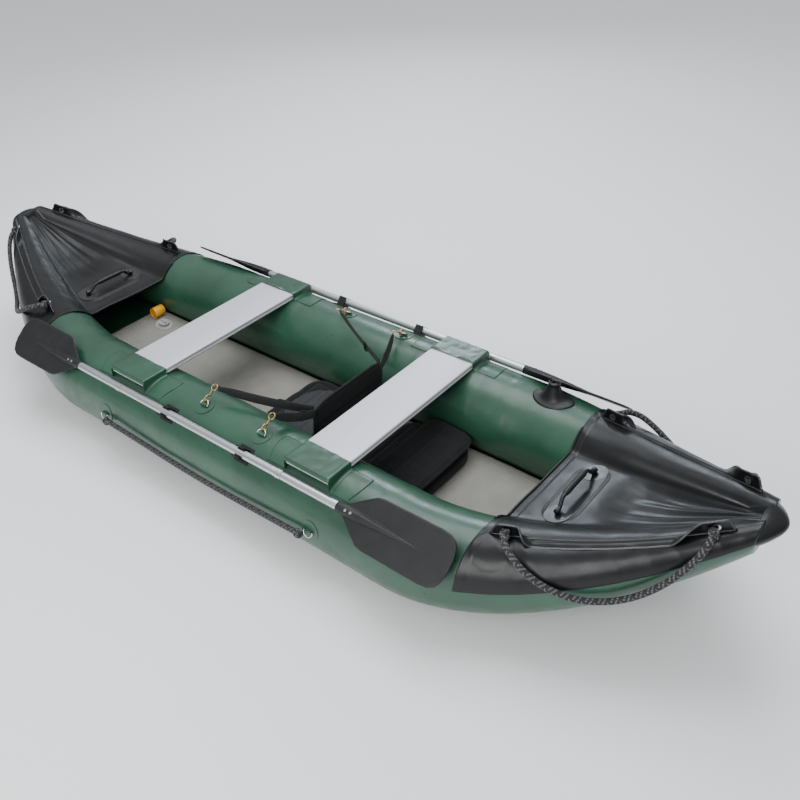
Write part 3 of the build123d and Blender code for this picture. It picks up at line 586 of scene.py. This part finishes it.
def end_relief(end, x, across, inner, place):
    """Creases that run to the tip, seam tape, hem tape and the round reinforcement patches."""
    q = across / max(inner, 0.03)
    seed = end * 11.0
    pull = ease(1.20, 1.42, x) * (1 - 0.75 * ease(1.60, 1.70, x))
    on_deck = 1 - ease(0.85, 1.25, abs(q))
    broad = soft_fold(rough(q * 1.35 + seed, x * 0.9, seed))
    finer = soft_fold(rough(q * 2.9 - seed, x * 1.7, seed + 5))
    lift = on_deck * pull * (0.0090 * (broad - 0.5) + 0.0026 * (finer - 0.5))
    lift += on_deck * 0.0035 * rough(q * 1.2, x * 5.0, seed + 2) * ease(1.21, 1.27, x)
    lift += 0.0060 * soft_fold((abs(q) - 1.10) * 3.2) * ease(1.10, 1.30, x) * (1 - ease(1.60, 1.70, x))
    over = 1 - on_deck
    wrinkle = ridge(rough(x * 7 + across * 16, across * 5, seed))
    lift += over * (0.0016 * rough(across * 9.0, x * 5.0, seed + 8) + 0.0011 * wrinkle)
    lift += 0.0009 * (1 - ease(FREE_EDGE + 0.024, FREE_EDGE + 0.027, x))
    for centre in (skin(1, 1.101, 62, 0), skin(-1, 1.101, 62, 0)):
        lift += 0.0012 * (1 - ease(0.056, 0.060, (place - centre).length))
    stem = Vector((0, min(0.088, max(-0.088, place.y)), 0))
    reach = math.hypot(place.x - HANDLE_X, place.y - stem.y)
    lift += (0.0010 * (1 - ease(0.055, 0.058, reach)) + 0.0010 * (1 - ease(0.047, 0.050, reach))) * on_deck
    return lift


for end_name, end in ENDS.items():
    rows = []
    for x in spread(FREE_EDGE, TIP, 260):
        line, inner = end_section(x)
        last = len(line) - 1
        row = []
        for k, p in enumerate(line):
            tangent = line[min(k + 1, last)] - line[max(k - 1, 0)]
            normal = Vector((0, tangent.z, -tangent.y)).normalized()
            if normal.z < 0 and abs(p.y) < tube_y(x):
                normal = -normal
            out = p + normal * end_relief(end, x, p.y, inner, p)
            lean = 0.010 * rough(p.y * 5, 2.0, end) * (1 - ease(1.04, 1.10, x))
            row.append(Vector((end * (out.x + lean), out.y, out.z)))
        rows.append(row)
    skin_piece = lofted(f"{end_name}_spray_skin", rows, black_pvc, "hull",
                        [f"{end_name}_deck", f"{end_name}_port_cover", f"{end_name}_starboard_cover"],
                        closed=False, flip=end < 0)
    thicken(skin_piece, 0.0022)
    hem = [p.copy() for p in rows[0] if abs(p.y) < 0.26]
    tube_along(f"{end_name}_deck_rolled_edge", hem, 0.0045, black_pvc, "hull")

    # moulding that closes both tube ends and tapers to a blunt point
    rows = []
    for t in spread(0, 1, 40):
        x = TIP - 0.014 + t * 0.064
        taper = 1 - 0.62 * ease(0.05, 1.25, t) - 0.10 * t
        size = taper * math.sqrt(max(0.0, 1 - t ** 7))
        row = []
        for j in range(64):
            a = 2 * math.pi * j / 64
            pinch = 1 - 0.10 * (1 - t) * math.cos(a) ** 2 * math.sin(a) ** 2 * 4
            y, z = 0.0905 * size * math.cos(a) * pinch, 0.0470 * size * math.sin(a)
            row.append(Vector((end * x, y, 0.4690 + 0.022 * t + z + 0.0010 * rough(x * 30, y * 30, z * 30))))
        rows.append(row)
    lofted(f"{end_name}_nose_moulding", rows, black_pvc, "hull", [f"{end_name}_nose_cap"],
           flip=end < 0)


# ---------- rope flaps
FLAP_FROM, FLAP_TO = 1.070, 1.650
FLAP_HEIGHT = 0.041


def flap_y(x):
    return tube_y(x) + 0.018 * (1 - 0.35 * share(x))


def flap_foot(x):
    offset = flap_y(x) - tube_y(x)
    return tube_z(x) + tube_rz(x) * math.sqrt(1 - (offset / tube_ry(x)) ** 2) + 0.0029


for end_name, end in ENDS.items():
    for side_name, side in SIDES.items():
        quarter = f"{end_name}_{side_name}"
        rows = []
        for x in spread(FLAP_FROM, FLAP_TO, 120):
            near = max(bump_at(g, 0.026, x, 0.060) for g in GROMMET_X)
            full = ease(FLAP_FROM, FLAP_FROM + 0.022, x) * (1 - ease(FLAP_TO - 0.022, FLAP_TO, x))
            height = mix(0.004, FLAP_HEIGHT, full) * (0.72 + 0.28 * near)
            # upright at the eyelets, lying outboard between them
            lean = math.radians(mix(97 + 7 * rough(x * 7, end * 3, side), 4, near))
            row = []
            for t in spread(-0.18, 1.0, 22):
                rise = max(0.0, t)
                turn = lean * ease(-0.1, 0.5, rise)
                y = flap_y(x) + 0.0015 + height * rise * math.sin(turn) + (0.030 * t if t < 0 else 0)
                z = flap_foot(x) + height * rise * math.cos(turn) + (0.018 * t if t < 0 else 0)
                z += (1 - near) * (0.004 * math.sin(math.pi * rise) - 0.004 * rise)
                wave = 0.0014 * rough(x * 22, t * 2, end + side * 5) * rise
                row.append(Vector((end * x, side * y, z + wave)))
            rows.append(row)
        flap = lofted(f"{quarter}_grab_flap", rows, black_pvc, "hull",
                      [f"{quarter}_rope_flap"], closed=False, flip=end * side > 0)
        thicken(flap, 0.0030, 0.0)
        for label, place, radius in (("edge", -1, 0.0032), ("seam", 4, 0.0027)):
            line = [row[place].copy() for row in rows]
            tube_along(f"{quarter}_flap_{label}_welt", line, radius, welt_highlight_pvc, "hull",
                       around=12)


# ---------- floor mat
def floor_half(x):
    z = floor_top(x)
    reach = (z - tube_z(x)) / tube_rz(x)
    return tube_y(x) - tube_ry(x) * math.sqrt(max(0.0, 1 - reach * reach)) - 0.004


rows = []
for x in spread(-1.098, 1.098, 260):
    half, top = floor_half(x), floor_top(x)
    ends = 1 - ease(1.085, 1.098, abs(x))
    row = []
    for t in spread(-1, 1, 81):
        inset = 0.012 * (1 - math.sqrt(max(0.0, 1 - max(0.0, (abs(t) - 0.96) / 0.04) ** 2)))
        seam = 0.0012 * bump_at(0.90, 0.004, abs(t), 0.004)
        z = top - inset - seam - 0.012 * (1 - ends) + 0.0010 * rough(x * 4, t * 2, 3.0)
        row.append(Vector((x, half * t, z)))
    for t in (1, -1):
        row.append(Vector((x, half * t * 0.995, top - 0.066)))
    rows.append(row)
lofted("drop_stitch_floor", rows, floor_pvc, "hull", ["floor_mat"])


# ---------- benches in their sleeves
def plank_section(width, thickness, radius, groove=0.0):
    """Rounded bar section with a shallow groove along both long edges."""
    w, h = width / 2, thickness / 2
    points = []
    for cx, cz, start in ((w - radius, h - radius, 90), (w - radius, radius - h, 0),
                          (radius - w, radius - h, -90), (radius - w, h - radius, -180)):
        for k in range(7):
            a = math.radians(start - 15 * k)
            points.append((cx + radius * math.cos(a), cz + radius * math.sin(a)))
        if start in (90, -90) and groove:
            s = 1 if start == 90 else -1
            for x, z in ((w, 0.0052), (w - groove, 0.0040), (w - groove, -0.0040), (w, -0.0052)):
                points.append((s * x, s * z))
    return points


PLANK_WIDTH, PLANK_THICKNESS, PLANK_Z = 0.187, 0.025, 0.33310
SLEEVE_FROM, SLEEVE_TO = 0.333, 0.441
SLEEVE_TOP, SLEEVE_HALF = 0.3470, 0.0958

for end_name, bench_x in BENCH_X.items():
    rows = []
    outline = plank_section(PLANK_WIDTH, PLANK_THICKNESS, 0.0055, 0.0030)
    for y in (-0.434, -0.4335, -0.432, -0.20, 0.0, 0.20, 0.432, 0.4335, 0.434):
        shrink = 1 - 0.006 * ease(0.432, 0.434, abs(y))
        rows.append([Vector((bench_x + x * shrink, y, PLANK_Z + z * shrink)) for x, z in outline])
    plank = lofted(f"{end_name}_bench_plank", rows, brushed, f"{end_name}_bench",
                   [f"{end_name}_bench"])
    modifier(plank, "EDGE_SPLIT", split_angle=math.radians(38))

    for side_name, side in SIDES.items():
        rows = []
        for y in spread(SLEEVE_FROM, SLEEVE_TO, 36):
            crown = TUBE_Z + math.sqrt(TUBE_R ** 2 - (y - TUBE_Y) ** 2)
            top = SLEEVE_TOP - 0.012 * ease(0.4345, SLEEVE_TO, y)
            pucker = (1 - ease(SLEEVE_FROM, 0.352, y)) * (1 if side > 0 else 0.45)
            row = []
            for k in range(121):
                s = mix(-1, 1, k / 120)
                reach = abs(s) * 0.212
                wall = top - crown - 0.004
                if reach < SLEEVE_HALF:
                    x, z = reach, top
                elif reach < SLEEVE_HALF + wall:
                    x, z = SLEEVE_HALF, top - (reach - SLEEVE_HALF)
                else:
                    x, z = reach - wall, crown + 0.0022
                x = math.copysign(x, s)
                raised = z > crown + 0.006
                fold = 0.0018 * rough(x * 30, y * 22, side * 9 + bench_x) * (1 if raised else 0.2)
                gather = 0.0055 * pucker * ridge(rough(x * 18, 3.0, side + bench_x)) * raised
                row.append(Vector((bench_x + x, side * y, z + abs(fold) + gather)))
            for turn in range(3):
                between = [row[i] * 0.5 + (row[i - 1] + row[i + 1]) * 0.25 for i in range(1, 120)]
                row = [row[0]] + between + [row[-1]]
            rows.append(row)
        sleeve = lofted(f"{end_name}_{side_name}_sleeve", rows, green_pvc, "hull",
                        [f"{end_name}_{side_name}_bench_sleeve"], closed=False, flip=side > 0)
        thicken(sleeve, 0.0018, 1.0)


# ---------- paddles
PADDLE_X = {"port": -0.040, "starboard": 0.030}
STOW = math.radians(50.4)        # round the tube, from its widest line to the clips
STOW_RADIUS = 0.179              # from the tube's axis to the shaft's
HALF_SHAFT = 0.675
BLADE_LENGTH = 0.400
NECK = 0.0165                    # radius of the blade's socket


def paddle_matrix(side, x, end):
    """Local X away from the paddle's middle, local Z straight out of the clips."""
    out = Vector((0, side * math.cos(STOW), math.sin(STOW)))
    origin = Vector((x, side * TUBE_Y, TUBE_Z)) + out * STOW_RADIUS
    ahead = Vector((end, 0, 0))
    return Matrix.Translation(origin) @ Matrix((ahead, out.cross(ahead), out)).transposed().to_4x4()


def blade_half(t):
    """Half width of the blade at t along it, from the shoulders to the blunt tip."""
    knots = [(0.0, 0.012), (0.045, 0.024), (0.12, 0.046), (0.24, 0.079), (0.30, 0.0835), (0.55, 0.0845),
             (0.82, 0.085), (0.90, 0.082), (0.955, 0.071), (0.985, 0.052), (1.0, 0.026)]
    for (t0, w0), (t1, w1) in zip(knots, knots[1:]):
        if t <= t1:
            return mix(w0, w1, (t - t0) / (t1 - t0))
    return knots[-1][1]


def blade_rows(matrix):
    """Sections of a blade, from its socket to its tip: a thin rimmed plate with a spine that fades out."""
    rows = []
    for x in spread(-0.016, 0.0, 4) + spread(0.0, BLADE_LENGTH, 110)[1:]:
        t = max(0.0, x / BLADE_LENGTH)
        neck = mix(NECK, 0.0028, ease(0.045, 0.330, x))
        half = max(neck, blade_half(t) if x > 0 else 0)
        rim = 0.0030 if x > 0.004 else 0.0
        share_of = [-1, -0.985, -0.955, -0.90, -0.78, -0.62, -0.46, -0.34]
        ys = [half * s for s in share_of if half * abs(s) > neck * 1.25]
        spare = [-half + 1e-5 * i for i in range(len(share_of) - len(ys))]
        core = [neck * s for s in (-1.2, -1.0, -0.92, -0.78, -0.58, -0.32, 0)]
        left = sorted(spare + ys) + [max(-half, c) for c in core]
        ys = left + [-y for y in reversed(left[:-1])]
        top = []
        for y in ys:
            edge = max(0.0, 1 - ((abs(y) / half) ** 16 if half > neck else 1))
            plate = rim * math.sqrt(edge) + 0.0009 * bump_at(half - 0.007, 0.0035, abs(y), 0.002) * (x > 0.06)
            spine = math.sqrt(max(0.0, neck ** 2 - y ** 2))
            top.append((y, max(plate, spine, 0.00002)))
        loop = [(y, z) for y, z in top] + [(y, -z) for y, z in reversed(top)]
        rows.append([matrix @ Vector((x, y, z)) for y, z in loop])
    return rows


for side_name, side in SIDES.items():
    for end_name, end in ENDS.items():
        matrix = paddle_matrix(side, PADDLE_X[side_name] + end * HALF_SHAFT, end)
        node = f"{side_name}_{end_name}_blade"
        lofted(f"{node}_moulded", blade_rows(matrix), blade_plastic, f"{side_name}_paddle",
               [node])


# ---------- rowlock boot
BOOT = Vector((0.880, 0.345, 0.3203))
# height, half length, half width: base, bell, stem, collar, then down into the socket
BOOT_PROFILE = (
    (-0.0100, 0.0770, 0.0490), (0.0015, 0.0770, 0.0490), (0.0045, 0.0750, 0.0475), (0.0060, 0.0700, 0.0440),
    (0.0075, 0.0520, 0.0360), (0.0120, 0.0430, 0.0320), (0.0220, 0.0350, 0.0280), (0.0360, 0.0290, 0.0240),
    (0.0500, 0.0240, 0.0205), (0.0600, 0.0205, 0.0180), (0.0640, 0.0200, 0.0176),
    (0.0655, 0.0225, 0.0198), (0.0700, 0.0225, 0.0198), (0.0720, 0.0205, 0.0180),
    (0.0720, 0.0090, 0.0090), (0.0700, 0.0082, 0.0082), (0.0330, 0.0082, 0.0082),
)
rows = []
for z, wide, deep in BOOT_PROFILE:
    row = []
    for j in range(64):
        a = 2 * math.pi * j / 64
        x, y = wide * math.cos(a), deep * math.sin(a)
        drop = 0.0
        if z < 0.02:
            here = BOOT.x + x
            offset = (BOOT.y + y - tube_y(here)) / tube_ry(here)
            drop = tube_z(here) + tube_rz(here) * math.sqrt(1 - offset ** 2) - BOOT.z
            drop *= 1 - ease(0.006, 0.02, z)
        row.append(BOOT + Vector((x, y, z + drop + 0.0004 * rough(x * 60, y * 60, z * 60))))
    rows.append(row)
lofted("rowlock_boot_moulded", rows, boot_rubber, "hull", ["rowlock_boot"])
for tag, s in (("fore", -1), ("aft", 1)):
    rows = []
    for k in range(9):
        t = k / 8
        z = BOOT.z + 0.066 + 0.018 * t
        size = math.sqrt(max(0.02, 1 - t ** 3))
        lean = s * (0.0135 + 0.002 * t)
        row = []
        for j in range(24):
            a = 2 * math.pi * j / 24
            x, y = lean + 0.0030 * size * math.cos(a), 0.0075 * size * math.sin(a)
            row.append(Vector((BOOT.x + x, BOOT.y + y, z)))
        rows.append(row)
    lofted(f"rowlock_horn_{tag}", rows, boot_rubber, "hull")


# ---------- carry handles
DECK_SLOPE = math.radians(14.3545)      # at the handles
half_profile = [(0.119, 0), (0.100, 0.0), (0.088, 0.010), (0.078, 0.022), (0.062, 0.0265), (0.030, 0.027)]
profile = [(-y, z) for y, z in half_profile] + [(0.0, 0.0275)] + half_profile[::-1]

for end_name, end in ENDS.items():
    out = Vector((-end * math.sin(DECK_SLOPE), 0, math.cos(DECK_SLOPE)))
    pivot = Vector((end * HANDLE_X, 0, 0.2953)) + out * 0.0113
    path = evenly(smooth_route([tuple(pivot + Vector((0, y, 0)) + out * z) for y, z in profile]), 0.0016)[0]
    radii = []
    for p in path:
        grip = 1 - ease(0.050, 0.066, abs(p.y))
        rib = 0.5 + 0.5 * math.cos(2 * math.pi * p.y / 0.011)
        radii.append(mix(0.0063, 0.0094 + 0.0009 * rib, grip))
    tube_along(f"{end_name}_grab_handle", path, radii, black_plastic, f"{end_name}_handle",
               [f"{end_name}_deck_handle"], around=24, up=Vector((1, 0, 0)))


# ---------- blank tag by the floor valve
FLOOR_SLOPE = math.radians(14.9604)     # under the tag
tag_frame = Matrix.Translation((-1.057, 0.133, 0.1075)) @ Matrix.Rotation(FLOOR_SLOPE, 4, "Y")
rows = []
for v in spread(-0.026, 0.026, 12):
    row = []
    for k in range(40):
        a = math.radians(-90 + 352 * k / 39)
        squeeze = 1 - 0.20 * abs(math.sin(a / 2 + 0.7))
        x = 0.0245 * math.cos(a) * squeeze * 1.04
        z = 0.0250 + 0.0243 * math.sin(a)
        row.append(tag_frame @ Vector((x + 0.05 * v * math.sin(a), v, z)))
    rows.append(row)
tag = lofted("floor_tag_loop", rows, yellow_pvc, "hull", ["floor_valve_tag"], closed=False)
thicken(tag, 0.0014, 0.0)


# ---------- seats
CUSHION = (0.320, 0.384, 0.062)
BACK = (0.218, 0.386, 0.028)
CORNER = 5.0                     # 2 gives an ellipse in plan, more a squarer pad
SEAT_FLOOR = 0.0726
SEAT_TOP = SEAT_FLOOR + CUSHION[2]


def cushion_block(name, length, width, height, corner, finish, body, replaced):
    """Closed rounded block about the origin, ready to be inflated: length on X, width on Y."""
    rows = []
    count = 56
    upper = [(0.0, -0.001), (0.36, 0.0), (0.5, 0.004), (0.5, 0.010)]
    for z, inset in [(-z, inset) for z, inset in upper[:0:-1]] + upper:
        row = []
        for j in range(count):
            a = 2 * math.pi * j / count
            x = squared(math.cos(a), 2.0 / corner) * (length / 2 - inset)
            y = squared(math.sin(a), 2.0 / corner) * (width / 2 - inset)
            row.append(Vector((x, y, z * height)))
        rows.append(row)
    return lofted(name, rows, finish, body, replaced)


def bake(obj):
    """Turn what the modifiers make of a piece into its mesh."""
    graph = bpy.context.evaluated_depsgraph_get()
    mesh = bpy.data.meshes.new_from_object(obj.evaluated_get(graph))
    old = obj.data
    obj.modifiers.clear()
    obj.data = mesh
    bpy.data.meshes.remove(old)
    obj.data.shade_smooth()


def inflate(obj, pressure=4.0, cap=0.008, frames=20):
    """Blow the pad up as cloth, with no gravity, and keep every point within cap of its start."""
    start = [v.co.copy() for v in obj.data.vertices]
    cloth = modifier(obj, "CLOTH")
    cloth.settings.quality = 5
    cloth.settings.use_pressure = True
    cloth.settings.uniform_pressure_force = pressure
    cloth.settings.effector_weights.gravity = 0
    cloth.settings.tension_stiffness = 20
    cloth.settings.bending_stiffness = 0.6
    cloth.point_cache.frame_start = 1
    cloth.point_cache.frame_end = frames
    for f in range(1, frames + 1):
        bpy.context.scene.frame_set(f)
    bake(obj)
    for v, rest in zip(obj.data.vertices, start):
        move = v.co - rest
        if move.length > cap:
            v.co = rest + move * (cap / move.length)
    bpy.context.scene.frame_set(1)


def pad(name, size, corner, finish, body, replaced, place, shape, cap=0.007):
    """A stuffed pad: block, remesh, cloth, then shape(point) for its seams, moved into place."""
    length, width, height = size
    obj = cushion_block(name, length - 0.010, width - 0.010, height - 0.010, corner, finish, body, replaced)
    modifier(obj, "REMESH", mode="VOXEL", voxel_size=0.0055, use_smooth_shade=True)
    bake(obj)
    inflate(obj, cap=cap)
    for v in obj.data.vertices:
        v.co = place @ shape(v.co.copy())
    modifier(obj, "SUBSURF", levels=1, render_levels=1)
    return obj


def edge_distance(p, length, width):
    return min(length / 2 - abs(p.x), width / 2 - abs(p.y))


def base_shape(length, width, height):
    """Crowned pad with a sewn border and two cross channels; flat underneath."""
    def shape(p):
        inner = edge_distance(p, length, width)
        upper = ease(0.0, height * 0.35, p.z)
        seam = 0.0060 * bump_at(0.052, 0.002, inner, 0.010)
        for x in (-0.045, 0.045):
            seam = max(seam, 0.0045 * bump_at(x, 0.001, p.x, 0.009) * (inner > 0.052))
        crease = 0.0030 * rough(p.x * 16, p.y * 14, 4.0) + 0.0016 * rough(p.x * 45, p.y * 40, 9.0)
        z = p.z * mix(1, 0.88, upper) - upper * seam + crease * (0.35 + 0.65 * upper)
        z -= 0.007 * upper * (1 - ease(0.0, 0.03, inner))
        return Vector((p.x, p.y, max(z, -height / 2)))
    return shape


def back_shape(length, width):
    """Long panel with a bound edge and one lengthwise channel."""
    def shape(p):
        inner = edge_distance(p, length, width)
        upper = 1 if p.z > 0 else -1
        seam = 0.0035 * bump_at(0.018, 0.001, inner, 0.006)
        seam = max(seam, 0.0035 * bump_at(0.02, 0.001, p.x, 0.008) * (inner > 0.018))
        crease = 0.0022 * rough(p.x * 20, p.y * 11, 14.0) + 0.0010 * rough(p.x * 60, p.y * 35, 5.0)
        return Vector((p.x, p.y, p.z * 0.80 - upper * seam + crease * 0.7))
    return shape


def base_place(front_x):
    return Matrix.Translation((front_x + CUSHION[0] / 2, 0, SEAT_FLOOR + CUSHION[2] / 2))


def back_place(front_x, lean):
    """From a flat pad, its X up the backrest and its upper face forward, to its place on the hinge."""
    turn = Matrix.Rotation(math.radians(lean), 4, "Y")
    hinge = Matrix.Translation((front_x + CUSHION[0] + 0.0003, 0, SEAT_TOP))
    middle = Matrix.Translation((BACK[2] / 2 + 0.0005, 0, BACK[0] / 2 + 0.0005))
    return hinge @ turn @ middle @ Matrix.Rotation(math.radians(-90), 4, "Y")


SEATS = {"middle": (-0.105, 7.0), "stern": (0.366, -83.0)}     # front edge, lean of the backrest
for where, (front_x, lean) in SEATS.items():
    pad(f"{where}_seat_cushion", CUSHION, CORNER, nylon, "hull", [f"{where}_seat_base"],
        base_place(front_x), base_shape(*CUSHION))
    pad(f"{where}_seat_back_pad", BACK, CORNER, nylon, f"{where}_backrest", [f"{where}_seat_backrest"],
        back_place(front_x, lean), back_shape(BACK[0], BACK[1]), cap=0.004)

# dark grey centre panel on the middle seat's cushion, with an arched front
rows = []
for t in spread(0, 1, 40):
    x = mix(-0.098, 0.105, t)
    half = 0.128 * math.sqrt(max(0.0, 1 - (1 - min(1.0, t * 2.2)) ** 2.2))
    row = []
    for s in spread(-1, 1, 41):
        y = half * s
        edge = 1 - max(abs(s) ** 10, (1 - min(1, (1 - t) * 12)) ** 3)
        dip = 0.0035 * (bump_at(-0.045, 0.001, x, 0.009) + bump_at(0.045, 0.001, x, 0.009))
        z = SEAT_TOP - 0.0068 + 0.0062 * max(0.0, edge) ** 0.5 - dip + 0.0012 * rough(x * 30, y * 26, 2.0)
        row.append(Vector((0.055 + x, y, z)))
    rows.append(row)
panel = lofted("middle_seat_centre_panel", rows, pad_cloth, "hull", closed=False)
thicken(panel, 0.003, -1.0)

# ---------- seat straps
# from the hook's eye to the backrest, on the starboard side
STRAPS = {"fore": ((-0.072, 0.3198, 0.3631), (0.2490, 0.1770, 0.3221)),
          "aft": ((0.2053, 0.3130, 0.3595), (0.2540, 0.1770, 0.3090))}
STRAP_WIDTH, SLACK = 0.034, 0.010
BUCKLE_SHARE = 0.66              # of the way along the strap
BUCKLE_HALF = 0.0195


def strap_frame(start, finish, t):
    """Place on a slightly slack strap, with its directions along, across and off its face."""
    line = finish - start
    across = (Vector((0, 0, 1)) - line * (line.z / line.dot(line))).normalized()
    place = start.lerp(finish, t) - Vector((0, 0, SLACK)) * math.sin(math.pi * t)
    return place, line.normalized(), across, line.normalized().cross(across)


def strap(name, start, finish):
    """Webbing pulled between two places, narrow at the hook, with a slight twist."""
    rows = []
    for t in spread(0, 1, 48):
        place, _, across, face = strap_frame(start, finish, t)
        half = STRAP_WIDTH / 2 * mix(0.62, 1.0, ease(0.0, 0.16, t))
        turn = math.radians(10) * math.sin(math.pi * t) * (1 if finish.y > 0 else -1)
        wide = across * math.cos(turn) + face * math.sin(turn)
        rows.append([place + wide * half * s + face * 0.0018 * (1 - s * s) for s in spread(-1, 1, 9)])
    obj = lofted(name, rows, webbing, None, closed=False)
    measure_uv(obj, 9)
    thicken(obj, 0.0018, 0.0)
    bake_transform(obj)
    return obj


def buckle(name, start, finish):
    """Ladder lock: an oval frame round the webbing with a middle bar and a thumb lip."""
    place, along, across, off = strap_frame(start, finish, BUCKLE_SHARE)
    off = off * (1 if finish.y > 0 else -1)
    oval = []
    for k in range(40):
        a = 2 * math.pi * k / 40
        x, y = 0.013 * squared(math.cos(a), 0.45), BUCKLE_HALF * squared(math.sin(a), 0.45)
        oval.append(place + along * x + across * y + off * 0.0025)
    bars = [(oval, True)]
    widths = spread(-BUCKLE_HALF, BUCKLE_HALF, 8)
    for shift in (-0.004, 0.005):
        bars.append(([place + along * shift + across * w + off * 0.0042 for w in widths], False))
    verts, faces = [], []
    for points, closed in bars:
        base = len(verts)
        for here, side, over in frames_along(points, up=off):
            for j in range(10):
                a = 2 * math.pi * j / 10
                verts.append(here + side * 0.0020 * math.cos(a) + over * 0.0016 * math.sin(a))
        faces += [tuple(base + v for v in f) for f in grid_faces(len(points), 10, True, closed)]
        if not closed:
            last = base + (len(points) - 1) * 10
            faces += [tuple(range(base + 9, base - 1, -1)), tuple(range(last, last + 10))]
    obj = piece(name, verts, faces, black_plastic, None)
    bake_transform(obj)
    return obj


straps, buckles = [], []
for side_name, side in SIDES.items():
    for place, (start, finish) in STRAPS.items():
        a, b = Vector(start), Vector(finish)
        a.y, b.y = a.y * side, b.y * side
        straps.append(strap(f"{side_name}_{place}_seat_strap", a, b))
        buckles.append(buckle(f"{side_name}_{place}_strap_buckle", a, b))
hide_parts("seat_straps")
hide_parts("strap_buckles")

# ---------- finishes of the CAD pieces that stay
KEPT = {
    "bottom_sheet": green_pvc, "floor_valve": grey_plastic, "floor_valve_cap": grey_plastic,
    "tube_valves": black_plastic,
    "port_tube_valve_cap": black_plastic, "starboard_tube_valve_cap": black_plastic,
    "port_paddle_shaft": shaft_metal, "starboard_paddle_shaft": shaft_metal,
    "port_paddle_fittings": steel, "starboard_paddle_fittings": steel,
    "grommets": steel, "d_rings": steel, "glued_patches": patch_pvc, "snap_hooks": brass,
    "port_fore_hook_gate": brass, "port_aft_hook_gate": brass,
    "starboard_fore_hook_gate": brass, "starboard_aft_hook_gate": brass,
    "paddle_clips": black_plastic,
}
for node, finish in KEPT.items():
    nodes[node].data.materials.clear()
    nodes[node].data.materials.append(finish.mat)

# ---------- studio
STUDIO_HALF, STUDIO_Z = 30, -0.0008
floor_mesh = bpy.data.meshes.new("studio_floor")
corners = [(x * STUDIO_HALF, y * STUDIO_HALF, STUDIO_Z) for x, y in ((-1, -1), (1, -1), (1, 1), (-1, 1))]
floor_mesh.from_pydata(corners, [], [(0, 1, 2, 3)])
studio_floor = bpy.data.objects.new("studio_floor", floor_mesh)
bpy.context.scene.collection.objects.link(studio_floor)
pale = Finish("studio_pale", (0.92, 0.92, 0.92), 0.9)
pale.tint(pale.noise(0.4, 2.0), 0.99, 1.0)
floor_mesh.materials.append(pale.mat)

world = bpy.data.worlds.new("studio")
world.use_nodes = True
sky = world.node_tree.nodes["Background"]
place = world.node_tree.nodes.new("ShaderNodeTexCoord")
height = world.node_tree.nodes.new("ShaderNodeSeparateXYZ")
fade = world.node_tree.nodes.new("ShaderNodeValToRGB")
world.node_tree.links.new(place.outputs["Generated"], height.inputs[0])
world.node_tree.links.new(height.outputs["Z"], fade.inputs["Fac"])
world.node_tree.links.new(fade.outputs["Color"], sky.inputs["Color"])
low, high = fade.color_ramp.elements
low.position = 0.30
low.color = (0.40, 0.41, 0.42, 1)
high.position = 0.95
high.color = (0.92, 0.96, 1.0, 1)
sky.inputs["Strength"].default_value = 1.0
bpy.context.scene.world = world


def area_light(name, place, target, size, energy, colour=(1, 1, 1)):
    data = bpy.data.lights.new(name, "AREA")
    data.shape, data.size, data.energy, data.color = "SQUARE", size, energy, colour
    light = bpy.data.objects.new(name, data)
    light.location = place
    light.rotation_euler = (Vector(target) - Vector(place)).to_track_quat("-Z", "Y").to_euler()
    bpy.context.scene.collection.objects.link(light)


area_light("overhead", (-0.4, 0.9, 4.4), (0, 0, 0.2), 3.4, 170, (0.93, 0.97, 1.0))
area_light("near_side", (1.0, -4.4, 2.6), (0, 0, 0.2), 3.0, 170)
area_light("far_strip", (-2.6, 4.4, 3.0), (0.2, 0, 0.3), 1.4, 60, (0.80, 0.90, 1.0))
